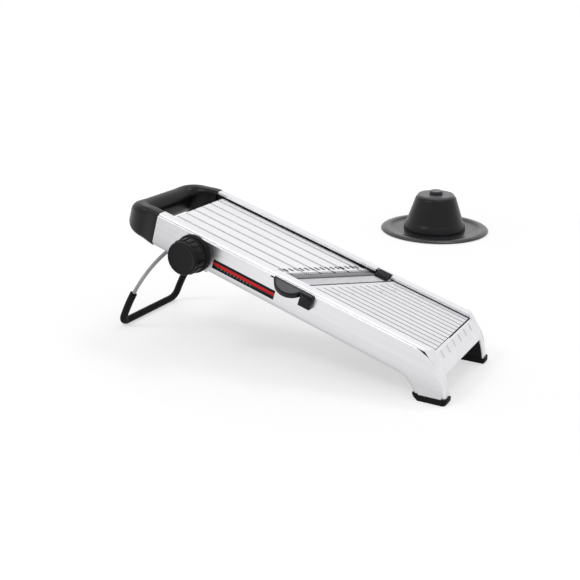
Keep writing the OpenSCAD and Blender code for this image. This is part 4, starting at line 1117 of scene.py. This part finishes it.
def make_lock():
    """Low block over the blade's far end, with three ridges along it and rounded ends."""
    section = [(-6.6, 0.1), (-6.6, 1.7), (-6.0, 2.4), (-4.4, 2.5), (-4.1, 3.2), (-3.0, 3.4), (-2.2, 3.2),
               (-1.9, 2.6), (-0.9, 2.6), (-0.6, 3.4), (0.4, 3.7), (1.2, 3.4), (1.5, 2.8), (2.5, 2.8),
               (2.8, 3.5), (3.8, 3.7), (4.8, 3.3), (5.4, 2.6), (5.4, 0.1)]
    mid = EDGE_S - RAIL_INNER * math.tan(BLADE_TURN) - LOCK_BEHIND / math.cos(BLADE_TURN)
    rings = []
    for s, tall in ((mid - 7.4, 0.45), (mid - 7.0, 0.8), (mid - 6.2, 1.0), (mid, 1.0), (mid + 7.4, 1.0),
                    (mid + 8.2, 0.8), (mid + 8.6, 0.45)):
        rings.append([(-s, RAIL_INNER + y, 0.1 + (h - 0.1) * tall) for y, h in section])
    mesh = loft(rings, deck_matrix(0, 0, 0))
    finish_mesh("blade_lock_block", mesh, gloss_black, "slicer", ["blade_clamp"], 35)


make_lock()

# -------- softened mouldings


def soften(node, name, radius, look):
    """A copy of a moulding of the body, its hard corners rounded by a radius in metres."""
    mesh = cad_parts[node].data.copy()
    work = bmesh.new()
    work.from_mesh(mesh)
    bmesh.ops.remove_doubles(work, verts=work.verts, dist=2e-6)
    bmesh.ops.dissolve_limit(work, angle_limit=math.radians(0.5), verts=work.verts, edges=work.edges)
    work.to_mesh(mesh)
    work.free()
    piece = add_object("hard", mesh)
    rounding = piece.modifiers.new("rounding", "BEVEL")
    rounding.width = radius
    rounding.segments = 3
    rounding.limit_method = "ANGLE"
    rounding.angle_limit = math.radians(28)
    finish_mesh(name, baked(piece), look, "slicer", [node], 40)


soften("front_feet", "front_foot_pads", 0.0008, foot_black)
soften("dial_collar", "knob_collar", 0.0006, frame_black)

# -------- studio

# Levels of light and white, floor sizes in metres, and the camera: its place in the slicer's own
# axes and its lens in mm, and its turns in degrees
SKY_LEVEL = 0.62
FLOOR_LIT = 0.86
FLOOR_SHADOW = 0.5
FLOOR_LIFT = 0.56
FLOOR_HALF = 6.0
FLOOR_FADE = (0.45, 1.1)
CAMERA_PLACE = (286.98, -843.27, 407.29)
CAMERA_DOWN = 19.536
CAMERA_TURN = 29.498
CAMERA_LENS = 57.68
CAMERA_SENSOR = 36


def seen_directly(tree):
    """1 for what the camera, a mirror or clear glass sees, and 0 for light on its way to it."""
    path = tree.nodes.new("ShaderNodeLightPath")
    seen = math_node(tree, "MAXIMUM", path.outputs["Is Camera Ray"], path.outputs["Is Glossy Ray"])
    return math_node(tree, "MAXIMUM", seen, path.outputs["Is Transmission Ray"])


def make_floor():
    """White table that fades into the white background and keeps a soft share of the shadow."""
    material = bpy.data.materials.new("studio_floor")
    material.use_nodes = True
    tree = material.node_tree
    shader = tree.nodes["Principled BSDF"]
    seen = seen_directly(tree)
    level = math_node(tree, "MULTIPLY_ADD", seen, FLOOR_SHADOW - FLOOR_LIT, FLOOR_LIT)
    shade = add_node(tree, "ShaderNodeCombineColor", dict.fromkeys(range(3), level))
    place = tree.nodes.new("ShaderNodeTexCoord").outputs["Object"]
    reach = add_node(tree, "ShaderNodeVectorMath", {0: place}, operation="LENGTH")
    lift = range_node(tree, reach.outputs["Value"], *FLOOR_FADE, FLOOR_LIFT, 1.0)
    feed(tree, shader, {"Roughness": 0.9, "Specular IOR Level": 0.1,
                        "Base Color": shade.outputs[0], "Emission Color": (1, 1, 1, 1),
                        "Emission Strength": math_node(tree, "MULTIPLY", seen, lift)})
    mesh = bpy.data.meshes.new("floor")
    corners = [(x * FLOOR_HALF, y * FLOOR_HALF, 0) for x, y in ((-1, -1), (1, -1), (1, 1), (-1, 1))]
    mesh.from_pydata(corners, [], [(0, 1, 2, 3)])
    mesh.materials.append(material)
    add_object("floor", mesh)


def make_world():
    """White surroundings that light the set less than they show behind it."""
    world = bpy.data.worlds.new("studio")
    world.use_nodes = True
    bpy.context.scene.world = world
    tree = world.node_tree
    level = math_node(tree, "MULTIPLY_ADD", seen_directly(tree), 1 - SKY_LEVEL, SKY_LEVEL)
    feed(tree, tree.nodes["Background"], {"Color": (1, 1, 1, 1), "Strength": level})


def make_lamp(name, place, size, energy):
    """Rectangular softbox that points at the middle of the set."""
    lamp = bpy.data.lights.new(name, "AREA")
    lamp.shape = "RECTANGLE"
    lamp.size, lamp.size_y = size
    lamp.energy = energy
    stand = add_object(name, lamp)
    stand.location = place
    stand.rotation_euler = (-Vector(place)).to_track_quat("-Z", "Y").to_euler()


def make_camera():
    """Camera in front of the near side, looking down at the set."""
    lens = bpy.data.cameras.new("camera")
    lens.lens = CAMERA_LENS
    lens.sensor_width = CAMERA_SENSOR
    camera = add_object("camera", lens)
    camera.location = to_set(CAMERA_PLACE)
    camera.rotation_euler = (math.radians(90 - CAMERA_DOWN), 0, math.radians(CAMERA_TURN))
    bpy.context.scene.camera = camera


make_floor()
make_world()
make_lamp("key_softbox", place=(-0.9, -1.3, 1.8), size=(0.6, 0.5), energy=9)
make_lamp("top_softbox", place=(0.3, 0.6, 2.2), size=(1.0, 0.5), energy=8)
make_camera()
bpy.context.scene.view_settings.view_transform = "Standard"
